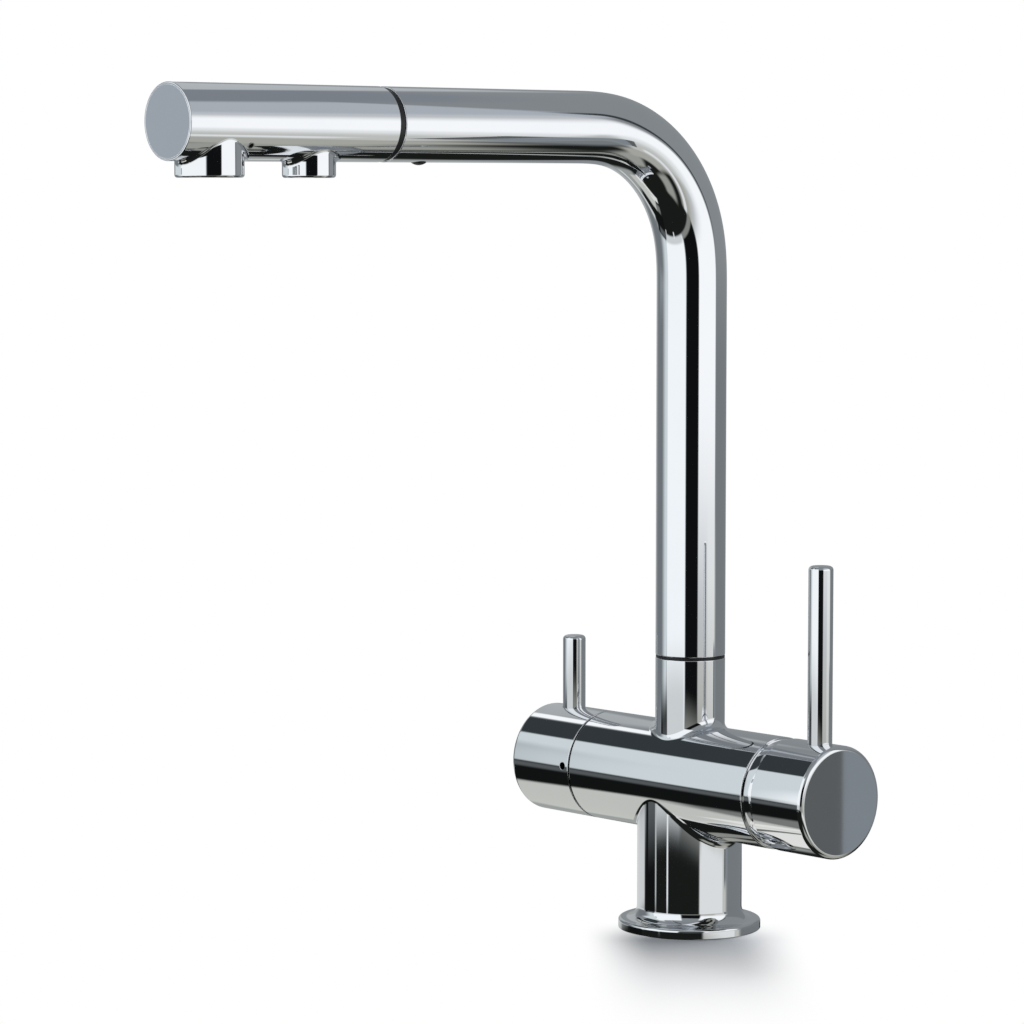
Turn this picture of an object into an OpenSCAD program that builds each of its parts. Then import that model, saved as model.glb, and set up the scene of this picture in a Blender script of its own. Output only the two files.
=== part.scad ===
// Three-way kitchen tap with a swivelling L-shaped spout and a pull-out head with two outlets.
// Millimetres. +Z is up and the origin is the centre of the flange's underside. The spout points
// along -Y, the mixer lever is at +X and the filtered water lever is at -X.

/* [Body] */
// Diameter of the horizontal barrel and of both knobs
barrel_d = 44.4; // [42.6:0.2:48]
// Height of the barrel's axis above the worktop
barrel_z = 60.5; // [52:0.5:90]
// Reach of the barrel casting to the left of the column's axis
barrel_left = 48.3; // [46:0.1:60]
// Reach of the barrel casting to the right of the column's axis
barrel_right = 51.1; // [49:0.1:62]
// Diameter of the column
column_d = 42.2; // [41.8:0.2:42.4]
// Diameter of the flange
flange_d = 57.4; // [54:0.2:70]
// Thickness of the flange's rim
flange_h = 4; // [3.2:0.2:8]
// Radius of the rounded edges of the flange
flange_edge = 1.2; // [0.4:0.1:1.5]
// Radius of the hollow fillet between flange and column
foot_fillet = 5; // [2:0.5:5.5]
// Radius of the fillets where column and neck meet the barrel
saddle_fillet = 4; // [2:0.5:5]
// Height of the top edge of the neck above the worktop
neck_top = 109.8; // [104:0.2:130]
// Bevel on the edges along the seams
seam_bevel = 0.4; // [0.2:0.1:0.6]
// Width of the base gasket
gasket_w = 3; // [2:0.5:4]
// Thickness of the base gasket
gasket_t = 2; // [1.5:0.5:2.5]

/* [Water ways] */
// Diameter of the passage for the two hoses
passage_d = 18.6; // [18.6:0.1:19]
// Diameter of the threaded ports and of the stud hole in the underside
port_d = 6.8; // [6:0.1:7]
// Wall between the hose passage and a port
port_wall = 0.9; // [0.7:0.1:1.1]
// Depth of the thread of the fixing stud
stud_depth = 22; // [14:1:30]
// Diameter of the cross drillings between ports and valves
drill_d = 3.8; // [3:0.1:4]

/* [Spout] */
// Outer diameter of the spout tube, the neck and the head
tube_d = 28; // [27.6:0.2:30]
// Wall of the spout tube
tube_wall = 1; // [0.8:0.1:1.2]
// Height of the axis of the horizontal leg above the worktop
spout_z = 321.1; // [280:0.5:400]
// Radius of the bend's centre line
bend_r = 55; // [45:1:80]
// Reach of the spout tube's mouth in front of the column's axis
mouth_reach = 159.8; // [150:0.1:210]
// Height of the black glide ring on the neck
glide_ring_h = 1; // [0.6:0.1:2]
// Wall of the neck around the spigot
neck_wall = 2.5; // [2.2:0.1:2.6]
// Depth of the spigot in the neck
spigot_len = 31; // [28:0.5:34]
// Depth of the spigot in the tube
spigot_plug = 13; // [8:0.5:20]
// Width of a seal in the spigot
seal_w = 1.6; // [1.2:0.1:2]
// Distance of a seal from the end of the neck's bore
seal_inset = 6; // [4:0.5:8]
// Swing of the spout to either side, in degrees
spout_swing = 70; // [40:5:80]
// Diameter of the stop screw in the neck
stop_screw_d = 4; // [3:0.5:5]

/* [Docking] */
// Width of the black docking ring
dock_ring_w = 2.4; // [1.5:0.1:4]
// Step of the docking ring below the tube's surface
dock_ring_step = 0.4; // [0.2:0.1:0.6]
// Length of the docking sleeve in the mouth of the spout
sleeve_len = 22.7; // [20:0.1:30]
// Wall of the docking sleeve
sleeve_wall = 2; // [1.6:0.1:2.2]
// Length of the tail of the head's core in the docking sleeve
tail_len = 14; // [12:0.5:17]
// Distance of the dock screw behind the mouth of the spout
dock_screw_back = 17.4; // [15:0.1:18.4]
// Diameter of the dock screw's head
dock_screw_head_d = 5.8; // [4.5:0.1:6.5]
// Height of the dock screw's head
dock_screw_head_h = 1; // [0.8:0.1:2]

/* [Head] */
// Length of the head from the docking ring to its end face
head_len = 95.9; // [84:0.1:120]
// Wall of the head's shell
head_wall = 1.3; // [1:0.1:1.6]
// Thickness of the end cap
end_cap_t = 2; // [1.5:0.1:3]
// Distance of the narrow outlet from the docking ring
small_outlet_at = 32.3; // [28:0.1:34]
// Distance of the wide outlet behind the head's end face
main_outlet_back = 18.4; // [17.5:0.1:24]
// Diameter of the narrow outlet's collar
small_outlet_d = 19.7; // [18.6:0.1:21]
// Diameter of the wide outlet's collar
main_outlet_d = 25; // [24:0.1:26]
// Distance of the outlets' lower edge below the spout's axis
outlet_drop = 19.8; // [18:0.1:24]
// Wall of the outlets' collars
collar_wall = 1.4; // [1:0.1:1.8]
// Height of the aerators' screw rings
aerator_h = 9; // [7:0.5:10]
// Distance of the core screw behind the wide outlet's axis
core_screw_back = 10.1; // [10:0.1:16]
// Angle of the core screw below the horizontal, in degrees
core_screw_angle = 37; // [20:1:45]

/* [Hoses] */
// Outer diameter of the mixed water hose
mixed_hose_d = 8; // [7:0.1:8]
// Outer diameter of the filtered water hose
filter_hose_d = 6.5; // [5.5:0.1:6.5]
// Wall of both hoses
hose_wall = 1.2; // [0.8:0.1:1.5]
// Length of the crimped ferrules on the hoses
ferrule_len = 9; // [6:0.5:9]
// Wall of the ferrules
ferrule_wall = 0.6; // [0.4:0.1:0.6]
// Length of the fixed hose in front of the bend
hose_stub = 9.7; // [6:0.1:12]

/* [Mixer side] */
// Depth of the pocket for the mixer cartridge
mixer_pocket = 31.5; // [31:0.1:34]
// Diameter of the mixer cartridge
cartridge_d = 35; // [34.6:0.1:36]
// Diameter of the cartridge's turret
turret_d = 19; // [18:0.1:20]
// Diameter of the lever's stem
stem_d = 6.4; // [6:0.1:7]
// Gap between the barrel casting and the mixer knob
knob_gap = 5.5; // [5:0.1:6.5]
// Length of the mixer knob
mixer_knob_len = 27; // [26:0.5:32]
// Wall of the mixer knob at its rim
knob_rim_wall = 0.6; // [0.5:0.1:0.9]
// Diameter of the long lever rod
long_rod_d = 9.7; // [8:0.1:10.5]
// Height of the long rod's top above the barrel's axis
long_rod_top = 91.4; // [60:0.2:120]
// Distance of the long rod from the outer end of its knob
long_rod_inset = 11.4; // [9:0.1:12]
// Tilt of the mixer lever from shut to fully open, in degrees
flow_tilt = 12; // [6:1:12]

/* [Filter side] */
// Depth of the pocket for the filter valve
filter_pocket = 26; // [25:0.1:28]
// Diameter of the filter valve
valve_d = 24.3; // [23:0.1:26]
// Diameter of the filter valve's stem
valve_stem_d = 8; // [7:0.1:9]
// Seam between the barrel casting and the filter knob
filter_seam = 0.3; // [0.2:0.05:0.6]
// Length of the filter knob
filter_knob_len = 34.9; // [32:0.1:40]
// Diameter of the short lever rod
short_rod_d = 9.4; // [8:0.1:10.5]
// Height of the short rod's top above the barrel's axis
short_rod_top = 52; // [40:0.2:80]
// Distance of the short rod from the outer end of its knob
short_rod_inset = 14.5; // [12:0.1:16]
// Distance of the filter knob's grub screw from the seam
filter_grub_at = 3.5; // [3:0.1:4]
// Height angle of that grub screw above the horizontal, in degrees
filter_grub_angle = 3; // [0:1:10]

/* [Knobs and fits] */
// Radius of the edge around the outer face of a knob
knob_edge = 2; // [1:0.1:3]
// Wall of a knob away from its rim
knob_wall = 3.7; // [3:0.1:4.2]
// Thickness of a knob's outer face
knob_face = 4.5; // [3:0.1:6]
// Diameter of the hub inside a knob
hub_d = 17; // [15:0.5:18]
// Diameter of the cross boss that holds rod and grub screw
boss_d = 13; // [12:0.5:14]
// Depth of a rod below the knob's surface
rod_depth = 9.5; // [6:0.5:10]
// Radius of the rounded tip of a rod
rod_tip = 1.2; // [0.4:0.1:2]
// Diameter of the grub screws
grub_d = 3; // [2.5:0.5:3.5]
// Radial clearance of turning and sliding fits
run_fit = 0.05; // [0.03:0.01:0.08]
// Radial clearance of fixed fits
fix_fit = 0.02; // [0.01:0.01:0.04]
// Clearance between faces that pass each other
face_gap = 0.05; // [0.03:0.01:0.1]

/* [Hidden] */
$fn = 64;
eps = 0.5;

CHROME = "gainsboro";
BLACK = "#1a1a1a";
BRASS = "#c9a85c";
STEEL = "silver";
PLASTIC = "#e6e6e0";
CERAMIC = "white";
RUBBER = "#303030";
HOSE = "#9aa0a6";

barrel_r = barrel_d / 2;
column_r = column_d / 2;
tube_r = tube_d / 2;
passage_r = passage_d / 2;
port_r = port_d / 2;
port_circle_r = passage_r + port_wall + port_r;
gasket_inner_r = port_circle_r + port_r + 3;
gasket_outer_r = gasket_inner_r + gasket_w;
port_top = barrel_z + port_r;
PORT_ANGLES = [30, 90, 150, 210, 270, 330];
STUD_ANGLE = 90;
MIXED_OUT_ANGLE = 270;

neck_bore_r = tube_r - neck_wall;
spigot_r = neck_bore_r - run_fit;
neck_floor = neck_top - spigot_len;
groove_depth = 1.1;
tube_bottom = neck_top + glide_ring_h + face_gap;
bend_z = spout_z - bend_r;
tube_bore_r = tube_r - tube_wall;
seal_low_z = neck_floor + seal_inset;
seal_high_z = neck_top - seal_inset;
stop_z = (seal_low_z + seal_high_z) / 2;
stop_tip_r = spigot_r - 0.7;

sleeve_back = mouth_reach - sleeve_len;
sleeve_bore_r = tube_bore_r - fix_fit - sleeve_wall;
dock_screw_y = mouth_reach - dock_screw_back;
dock_shank_d = 3;
head_back = mouth_reach + dock_ring_w + 2 * face_gap;
head_end = head_back + head_len;
head_bore_r = tube_r - head_wall;
core_r = head_bore_r - fix_fit;
tail_r = sleeve_bore_r - run_fit;
tail_back = head_back - tail_len;
tail_groove_y = tail_back + tail_len / 2;
small_outlet_y = head_back + small_outlet_at;
main_outlet_y = head_end - main_outlet_back;
core_end = main_outlet_y + main_outlet_d / 2 + 0.5;
cap_seat_r = head_bore_r + 0.5;
outlet_z = spout_z - outlet_drop;
aerator_recess = 0.8;
aerator_pocket_z = outlet_z + aerator_recess + aerator_h;
core_screw_y = main_outlet_y - core_screw_back;
core_screw_r = 1.4;
core_screw_depth = 4;
hose_gap = 0.45;
mixed_r = mixed_hose_d / 2;
filter_r = filter_hose_d / 2;
mixed_x = (hose_gap + mixed_hose_d) / 2;
filter_x = mixed_x - mixed_r - filter_r - 2 * ferrule_wall - hose_gap;
hose_split = bend_r + hose_stub;
check_len = 8;

nut_t = 4;
mixer_floor = barrel_right - mixer_pocket;
mixer_pocket_r = cartridge_d / 2 + 2 * run_fit;
case_start = mixer_floor + 1;
case_len = 24;
case_end = case_start + case_len;
cartridge_nut_end = case_end + nut_t;
case_cavity_r = cartridge_d / 2 - 3.3;
case_base = 3;
case_top = 6;
fixed_disc_x = case_start + case_base + face_gap;
fixed_disc_t = 3.5;
moving_disc_x = fixed_disc_x + fixed_disc_t + face_gap;
moving_disc_t = 3.5;
carrier_x = moving_disc_x + moving_disc_t + face_gap;
carrier_t = 5.7;
turret_x = carrier_x + carrier_t + 2 * face_gap;
turret_flange_end = case_end - case_top - face_gap;
knob_rim_x = barrel_right + knob_gap;
pivot_x = barrel_right + knob_gap / 2;
turret_end = pivot_x + 4;
knob_rim_r = barrel_r - knob_rim_wall;
dome_r = knob_rim_r - 0.15;
collar_overlap = 3.4;
collar_bore_gap = 2.7;
collar_end = knob_rim_x + collar_overlap;
mixer_knob_end = knob_rim_x + mixer_knob_len;
cavity_r = barrel_r - knob_wall;
cavity_step_x = pivot_x + sqrt(pow(dome_r + 0.5, 2) - pow(cavity_r, 2));
hub_x = collar_end + 2;
stem_start = carrier_x + carrier_t - 3;
stem_socket_r = stem_d / 2 + 1.1;
stem_end = mixer_knob_end - knob_face - 1;
long_rod_x = mixer_knob_end - long_rod_inset;
port_x = port_circle_r * cos(PORT_ANGLES[0]);
port_y = port_circle_r * sin(PORT_ANGLES[0]);
mixed_out_y = passage_r + port_wall + drill_d / 2 + 0.4;
DISC_PORT_DROP = 3;
fixed_disc_r = mixed_out_y - (drill_d - 1) / 2 - 0.2;
disc_travel = (pivot_x - (stem_start + 1.5)) * sin(flow_tilt);
moving_disc_r = case_cavity_r - disc_travel - 0.4;

filter_floor = barrel_left - filter_pocket;
valve_r = valve_d / 2;
valve_pocket_r = valve_r + run_fit;
valve_start = filter_floor + 1;
valve_end = barrel_left - nut_t - face_gap;
valve_base = 2;
stem_end_gap = 6;
valve_cavity_r = valve_r - 3.5;
filter_disc_x = valve_start + valve_base + face_gap;
filter_disc_t = 3;
filter_disc2_x = filter_disc_x + filter_disc_t + face_gap;
driver_x = filter_disc2_x + filter_disc_t + face_gap;
driver_t = 3.4;
driver_end = driver_x + driver_t;
filter_rim_x = barrel_left + filter_seam;
filter_knob_end = filter_rim_x + filter_knob_len;
filter_stem_end = filter_knob_end - knob_face - stem_end_gap;
short_rod_x = filter_knob_end - short_rod_inset;
filter_port_y = 5;

// Straight round bar along X on the barrel's axis
module x_bar(x0, x1, d) {
    translate([x0, 0, barrel_z]) rotate([0, 90, 0]) cylinder(d = d, h = x1 - x0);
}

// Straight round bar along X beside the barrel's axis
module x_drill(x0, x1, d, y, drop) {
    translate([x0, y, barrel_z - drop]) rotate([0, 90, 0]) cylinder(d = d, h = x1 - x0);
}

// Round bar along the spout's axis, between two distances in front of the column
module y_bar(y0, y1, d, x = 0) {
    translate([x, -y0, spout_z]) rotate([90, 0, 0]) cylinder(d = d, h = y1 - y0);
}

// Upright round bar
module z_bar(z0, z1, d, x = 0, y = 0) {
    translate([x, y, z0]) cylinder(d = d, h = z1 - z0);
}

// Places a piece of the filter side, drawn at +X, on the left
module left_side() {
    mirror([1, 0, 0]) children();
}

// Half outline of a round bar whose far edge is rounded
module rounded_bar_outline(r, h, edge) {
    union() {
        square([r - edge, h]);
        square([r, h - edge]);
        translate([r - edge, h - edge]) intersection() {
            circle(r = edge);
            square(edge);
        }
    }
}

// Round bar with one rounded end
module rounded_bar(r, h, edge) {
    rotate_extrude() rounded_bar_outline(r, h, edge);
}

// Half outline of a round bar whose two edges are bevelled
module bevelled_outline(r, h, low, high) {
    polygon([[0, 0], [r - low, 0], [r, low], [r, h - high], [r - high, h], [0, h]]);
}

// Half outline of flange, foot fillet and column
module foot_outline(height) {
    flange_r = flange_d / 2;
    union() {
        square([column_r, height]);
        square([flange_r - flange_edge, flange_h]);
        translate([0, flange_edge]) square([flange_r, flange_h - 2 * flange_edge]);
        for (z = [flange_edge, flange_h - flange_edge]) {
            translate([flange_r - flange_edge, z]) circle(r = flange_edge);
        }
        translate([column_r, flange_h]) difference() {
            square(foot_fillet);
            translate([foot_fillet, foot_fillet]) circle(r = foot_fillet);
        }
    }
}

// Fillet between an upright round bar and the barrel, in fine steps
module saddle(r, z0, z1) {
    steps = 5;
    keep = min(r, barrel_r) * 0.96;
    intersection() {
        translate([-barrel_d, -keep, z0]) cube([2 * barrel_d, 2 * keep, z1 - z0]);
        union() {
            for (k = [0 : steps - 1]) {
                side = saddle_fillet * (k + 0.5) / steps;
                rise = saddle_fillet - sqrt(pow(saddle_fillet, 2) - pow(saddle_fillet - side, 2));
                intersection() {
                    z_bar(z0, z1, 2 * (r + side));
                    x_bar(-r - saddle_fillet, r + saddle_fillet, barrel_d + 2 * rise);
                }
            }
        }
    }
}

// Outer shape of flange, column, barrel and neck
module body_outside() {
    union() {
        rotate_extrude() foot_outline(barrel_z);
        translate([-barrel_left, 0, barrel_z]) rotate([0, 90, 0]) rotate_extrude()
            bevelled_outline(barrel_r, barrel_left + barrel_right, seam_bevel, seam_bevel);
        translate([0, 0, barrel_z]) rotate_extrude()
            bevelled_outline(tube_r, neck_top - barrel_z, seam_bevel, seam_bevel);
        saddle(tube_r, barrel_z, barrel_z + barrel_r + saddle_fillet);
        saddle(column_r, barrel_z - barrel_r - saddle_fillet, barrel_z);
    }
}

// Hose passage, neck bore, valve pockets, ports and the drillings between them
module body_water_ways() {
    z_bar(-eps, neck_top, passage_d);
    z_bar(neck_floor, neck_top + eps, 2 * neck_bore_r);
    x_bar(mixer_floor, barrel_right + eps, 2 * mixer_pocket_r);
    x_bar(-barrel_left - eps, -filter_floor, 2 * valve_pocket_r);
    for (angle = PORT_ANGLES) {
        top = angle == STUD_ANGLE ? stud_depth : port_top;
        z_bar(-eps, top, port_d, port_circle_r * cos(angle), port_circle_r * sin(angle));
    }
    for (side = [-1, 1]) {
        x_drill(port_x, mixer_floor + eps, drill_d, side * port_y, DISC_PORT_DROP);
        x_drill(-filter_floor - eps, -port_x, drill_d, side * filter_port_y, 0);
    }
    x_drill(0, mixer_floor + eps, drill_d, -mixed_out_y, 0);
    translate([0, neck_bore_r - eps, stop_z]) rotate([-90, 0, 0])
        cylinder(d = stop_screw_d + 2 * fix_fit, h = neck_wall + 2 * eps);
    difference() {
        z_bar(-eps, gasket_t + fix_fit, 2 * gasket_outer_r + 2 * fix_fit);
        z_bar(-2 * eps, gasket_t + 1, 2 * gasket_inner_r - 2 * fix_fit);
    }
}

module body_casting() {
    color(CHROME) difference() {
        body_outside();
        body_water_ways();
    }
}

module base_gasket() {
    color(RUBBER) difference() {
        z_bar(0, gasket_t, 2 * gasket_outer_r);
        z_bar(-eps, gasket_t + eps, 2 * gasket_inner_r);
    }
}

module spout_glide_ring() {
    color(BLACK) difference() {
        z_bar(neck_top, neck_top + glide_ring_h, tube_d - 0.2);
        z_bar(neck_top - eps, neck_top + glide_ring_h + eps, 2 * (spigot_r + 2 * run_fit));
    }
}

module spout_stop_screw() {
    socket_d = stop_screw_d * 0.5;
    socket_depth = 1.2;
    head_y = tube_r - 0.5;
    color(STEEL) difference() {
        translate([0, stop_tip_r, stop_z]) rotate([-90, 0, 0])
            cylinder(d = stop_screw_d, h = head_y - stop_tip_r);
        translate([0, head_y - socket_depth, stop_z]) rotate([-90, 0, 0])
            cylinder(d = socket_d, h = socket_depth + eps, $fn = 6);
    }
}

// One diameter's worth of spout: riser, bend and horizontal leg up to a distance in front
module spout_run(d, z0, y1, x = 0) {
    union() {
        z_bar(z0, bend_z, d, x);
        translate([x, -bend_r, bend_z]) rotate([0, -90, 0])
            rotate_extrude(angle = 90) translate([bend_r, 0]) circle(d = d);
        y_bar(bend_r, y1, d, x);
    }
}

module spout_tube() {
    color(CHROME) difference() {
        spout_run(tube_d, tube_bottom, mouth_reach);
        spout_run(tube_d - 2 * tube_wall, tube_bottom - eps, mouth_reach + eps);
        dock_screw_hole();
    }
}

// Slot around the back of the spigot, in which the tip of the stop screw runs
module stop_slot() {
    half_angle = spout_swing + asin(stop_screw_d / 2 / stop_tip_r) + 2;
    slot_h = stop_screw_d + 0.6;
    translate([0, 0, stop_z - slot_h / 2]) rotate([0, 0, 90 - half_angle])
        rotate_extrude(angle = 2 * half_angle)
        translate([spigot_r - groove_depth, 0]) square([groove_depth + 1, slot_h]);
}

module seal_groove(z) {
    translate([0, 0, z - seal_w / 2 - 0.1]) difference() {
        cylinder(r = spigot_r + 1, h = seal_w + 0.2);
        translate([0, 0, -eps]) cylinder(r = spigot_r - groove_depth, h = seal_w + 2 * eps);
    }
}

module spout_spigot() {
    color(BRASS) difference() {
        union() {
            z_bar(neck_floor + 4 * face_gap, tube_bottom + eps, 2 * spigot_r);
            z_bar(tube_bottom, tube_bottom + spigot_plug, 2 * (tube_bore_r - fix_fit));
        }
        z_bar(neck_floor - eps, tube_bottom + spigot_plug + eps, passage_d);
        seal_groove(seal_low_z);
        seal_groove(seal_high_z);
        stop_slot();
    }
}

module spout_seals() {
    color(RUBBER) for (z = [seal_low_z, seal_high_z]) {
        translate([0, 0, z - seal_w / 2]) difference() {
            cylinder(r = neck_bore_r - fix_fit, h = seal_w);
            translate([0, 0, -eps]) cylinder(r = spigot_r - groove_depth + fix_fit, h = seal_w + 2 * eps);
        }
    }
}

// Hole of the dock screw through tube and sleeve
module dock_screw_hole() {
    z_bar(spout_z - tube_r - eps, spout_z - sleeve_bore_r + eps, dock_shank_d + 2 * fix_fit,
        0, -dock_screw_y);
}

module dock_sleeve() {
    color(BLACK) difference() {
        y_bar(sleeve_back, mouth_reach, 2 * (tube_bore_r - fix_fit));
        y_bar(sleeve_back - eps, mouth_reach + eps, 2 * sleeve_bore_r);
        dock_screw_hole();
    }
}

module dock_ring() {
    ring_start = mouth_reach + face_gap;
    color(BLACK) difference() {
        y_bar(ring_start, ring_start + dock_ring_w, tube_d - 2 * dock_ring_step);
        y_bar(ring_start - eps, ring_start + dock_ring_w + eps, 2 * sleeve_bore_r + 0.2);
    }
}

module dock_screw() {
    low_z = spout_z - tube_r - dock_screw_head_h;
    edge = dock_screw_head_h * 0.8;
    color(BLACK) difference() {
        union() {
            translate([0, -dock_screw_y, low_z + dock_screw_head_h + 1]) mirror([0, 0, 1])
                rounded_bar(dock_screw_head_d / 2, dock_screw_head_h + 1, edge);
            z_bar(low_z + dock_screw_head_h, spout_z - sleeve_bore_r - 0.4, dock_shank_d, 0, -dock_screw_y);
        }
        difference() {
            y_bar(sleeve_back, mouth_reach, tube_d + 2 * fix_fit);
            z_bar(low_z, spout_z, dock_shank_d, 0, -dock_screw_y);
        }
    }
}

// Upright collar around an outlet
module outlet_collar(y, d) {
    edge = 0.6;
    translate([0, -y, spout_z]) mirror([0, 0, 1]) rounded_bar(d / 2, outlet_drop, edge);
}

// Screw hole along a radius of the head
module core_screw_axis() {
    translate([0, -core_screw_y, spout_z]) rotate([0, 90 + core_screw_angle, 0]) children();
}

module head_shell() {
    color(CHROME) difference() {
        union() {
            translate([0, -head_back, spout_z]) rotate([90, 0, 0]) rotate_extrude()
                bevelled_outline(tube_r, head_len, seam_bevel, seam_bevel);
            outlet_collar(small_outlet_y, small_outlet_d);
            outlet_collar(main_outlet_y, main_outlet_d);
        }
        y_bar(head_back - eps, head_end + eps, 2 * head_bore_r);
        y_bar(head_end - end_cap_t, head_end + eps, 2 * cap_seat_r);
        z_bar(outlet_z - eps, spout_z, small_outlet_d - 2 * collar_wall, 0, -small_outlet_y);
        z_bar(outlet_z - eps, spout_z, main_outlet_d - 2 * collar_wall, 0, -main_outlet_y);
        core_screw_axis() cylinder(r = core_screw_r + fix_fit, h = tube_r + 1);
    }
}

module head_end_cap() {
    color(CHROME) difference() {
        union() {
            y_bar(head_end - end_cap_t, head_end, 2 * (cap_seat_r - fix_fit));
            y_bar(core_end + 0.4, head_end, 2 * (head_bore_r - fix_fit));
        }
        y_bar(core_end, head_end - end_cap_t, 2 * (head_bore_r - 1.5));
    }
}

// Water way from a hose to the pocket above its outlet
module core_channel(x, d, outlet_y) {
    y_bar(tail_back - eps, outlet_y, d, x);
    z_bar(aerator_pocket_z - eps, spout_z, d, x, -outlet_y);
}

module head_core() {
    pocket_gap = 0.3;
    color(PLASTIC) difference() {
        union() {
            y_bar(tail_back, head_back + 1, 2 * tail_r);
            y_bar(head_back + face_gap, core_end, 2 * core_r);
        }
        core_channel(mixed_x, mixed_hose_d - 2 * hose_wall, main_outlet_y);
        core_channel(filter_x, filter_hose_d - 2 * hose_wall, small_outlet_y);
        y_bar(tail_back - eps, tail_back + check_len, mixed_hose_d + 2 * fix_fit, mixed_x);
        y_bar(tail_back - eps, tail_back + check_len, filter_hose_d + 2 * fix_fit, filter_x);
        z_bar(outlet_z - eps, aerator_pocket_z, small_outlet_d - 2 * collar_wall + 2 * pocket_gap,
            0, -small_outlet_y);
        z_bar(outlet_z - eps, aerator_pocket_z, main_outlet_d - 2 * collar_wall + 2 * pocket_gap,
            0, -main_outlet_y);
        core_screw_axis() translate([0, 0, core_r - core_screw_depth - 0.5])
            cylinder(r = core_screw_r, h = core_screw_depth + 2);
        tail_groove();
    }
}

// Groove around the core's tail for its seal
module tail_groove() {
    y0 = tail_groove_y - seal_w / 2 - 0.1;
    difference() {
        y_bar(y0, y0 + seal_w + 0.2, 2 * tail_r + 2);
        y_bar(y0 - eps, y0 + seal_w + 0.2 + eps, 2 * (tail_r - groove_depth));
    }
}

module tail_seal() {
    y0 = tail_groove_y - seal_w / 2;
    color(RUBBER) difference() {
        y_bar(y0, y0 + seal_w, 2 * (tail_r + fix_fit));
        y_bar(y0 - eps, y0 + seal_w + eps, 2 * (tail_r - groove_depth + fix_fit));
    }
}

module head_core_screw() {
    screw_len = tube_r - core_r + core_screw_depth - 0.4;
    color(STEEL) core_screw_axis() translate([0, 0, core_r - core_screw_depth]) difference() {
        cylinder(r = core_screw_r - fix_fit, h = screw_len);
        translate([0, 0, screw_len - 1]) cylinder(d = core_screw_r, h = 2, $fn = 6);
    }
}

// Spring-loaded valve cartridge, simplified to its case, in the mouth of a core channel
module check_valve(x, d) {
    difference() {
        y_bar(tail_back + face_gap, tail_back + check_len - face_gap, d, x);
        y_bar(tail_back - eps, tail_back + check_len + eps, d * 0.45, x);
    }
}

module mixed_check_valve() { color(PLASTIC) check_valve(mixed_x, mixed_hose_d); }

module filter_check_valve() { color(PLASTIC) check_valve(filter_x, filter_hose_d); }

// Screw ring of an aerator: a collar-sized ring, open below
module aerator_ring(y, collar_d) {
    r = collar_d / 2 - collar_wall - fix_fit;
    z0 = outlet_z + aerator_recess;
    difference() {
        z_bar(z0, z0 + aerator_h - 2, 2 * r, 0, -y);
        z_bar(z0 + 1, z0 + aerator_h, 2 * r - 2.4, 0, -y);
        z_bar(z0 - eps, z0 + aerator_h, 2 * r - 3.6, 0, -y);
    }
}

// Jet former with its ring of holes and a middle hole
module aerator_insert(y, collar_d, holes) {
    r = collar_d / 2 - collar_wall - fix_fit - 1.2 - fix_fit;
    z0 = outlet_z + aerator_recess + 1;
    hole_d = 1.6;
    difference() {
        z_bar(z0, z0 + aerator_h - 3, 2 * r, 0, -y);
        z_bar(z0 + 2, z0 + aerator_h, 2 * r - 2, 0, -y);
        z_bar(z0 - eps, z0 + aerator_h, hole_d, 0, -y);
        for (k = [0 : holes - 1]) {
            a = 360 * k / holes;
            z_bar(z0 - eps, z0 + aerator_h, hole_d, 0.62 * r * cos(a), 0.62 * r * sin(a) - y);
        }
    }
}

// Flat seal between an aerator and the head's core
module aerator_seal(y, collar_d) {
    r = collar_d / 2 - collar_wall - fix_fit;
    z1 = outlet_z + aerator_recess + aerator_h;
    difference() {
        z_bar(z1 - 2, z1, 2 * r, 0, -y);
        z_bar(z1 - 3, z1 + eps, 2 * r - 4, 0, -y);
    }
}

module main_aerator_ring() { color(CHROME) aerator_ring(main_outlet_y, main_outlet_d); }

module main_aerator_insert() { color(PLASTIC) aerator_insert(main_outlet_y, main_outlet_d, 10); }

module main_aerator_seal() { color(RUBBER) aerator_seal(main_outlet_y, main_outlet_d); }

module small_aerator_ring() { color(CHROME) aerator_ring(small_outlet_y, small_outlet_d); }

module small_aerator_insert() { color(PLASTIC) aerator_insert(small_outlet_y, small_outlet_d, 6); }

module small_aerator_seal() { color(RUBBER) aerator_seal(small_outlet_y, small_outlet_d); }

// Hose length in column and barrel, below the turning spout
module hose_base(x, d) {
    difference() {
        z_bar(0, neck_floor, d, x);
        z_bar(-eps, neck_floor + eps, d - 2 * hose_wall, x);
    }
}

// Hose length in spigot, riser and bend
module hose_spout(x, d) {
    difference() {
        spout_run(d, neck_floor + 0.3, hose_split - 0.3, x);
        spout_run(d - 2 * hose_wall, neck_floor, hose_split, x);
    }
}

// Hose length that comes out of the spout with the head
module hose_head(x, d) {
    difference() {
        y_bar(hose_split, tail_back - face_gap, d, x);
        y_bar(hose_split - eps, tail_back + eps, d - 2 * hose_wall, x);
    }
}

module mixed_hose_base() { color(HOSE) hose_base(mixed_x, mixed_hose_d); }

module filter_hose_base() { color(HOSE) hose_base(filter_x, filter_hose_d); }

module mixed_hose_spout() { color(HOSE) hose_spout(mixed_x, mixed_hose_d); }

module filter_hose_spout() { color(HOSE) hose_spout(filter_x, filter_hose_d); }

module mixed_hose_head() { color(HOSE) hose_head(mixed_x, mixed_hose_d); }

module filter_hose_head() { color(HOSE) hose_head(filter_x, filter_hose_d); }

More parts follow.
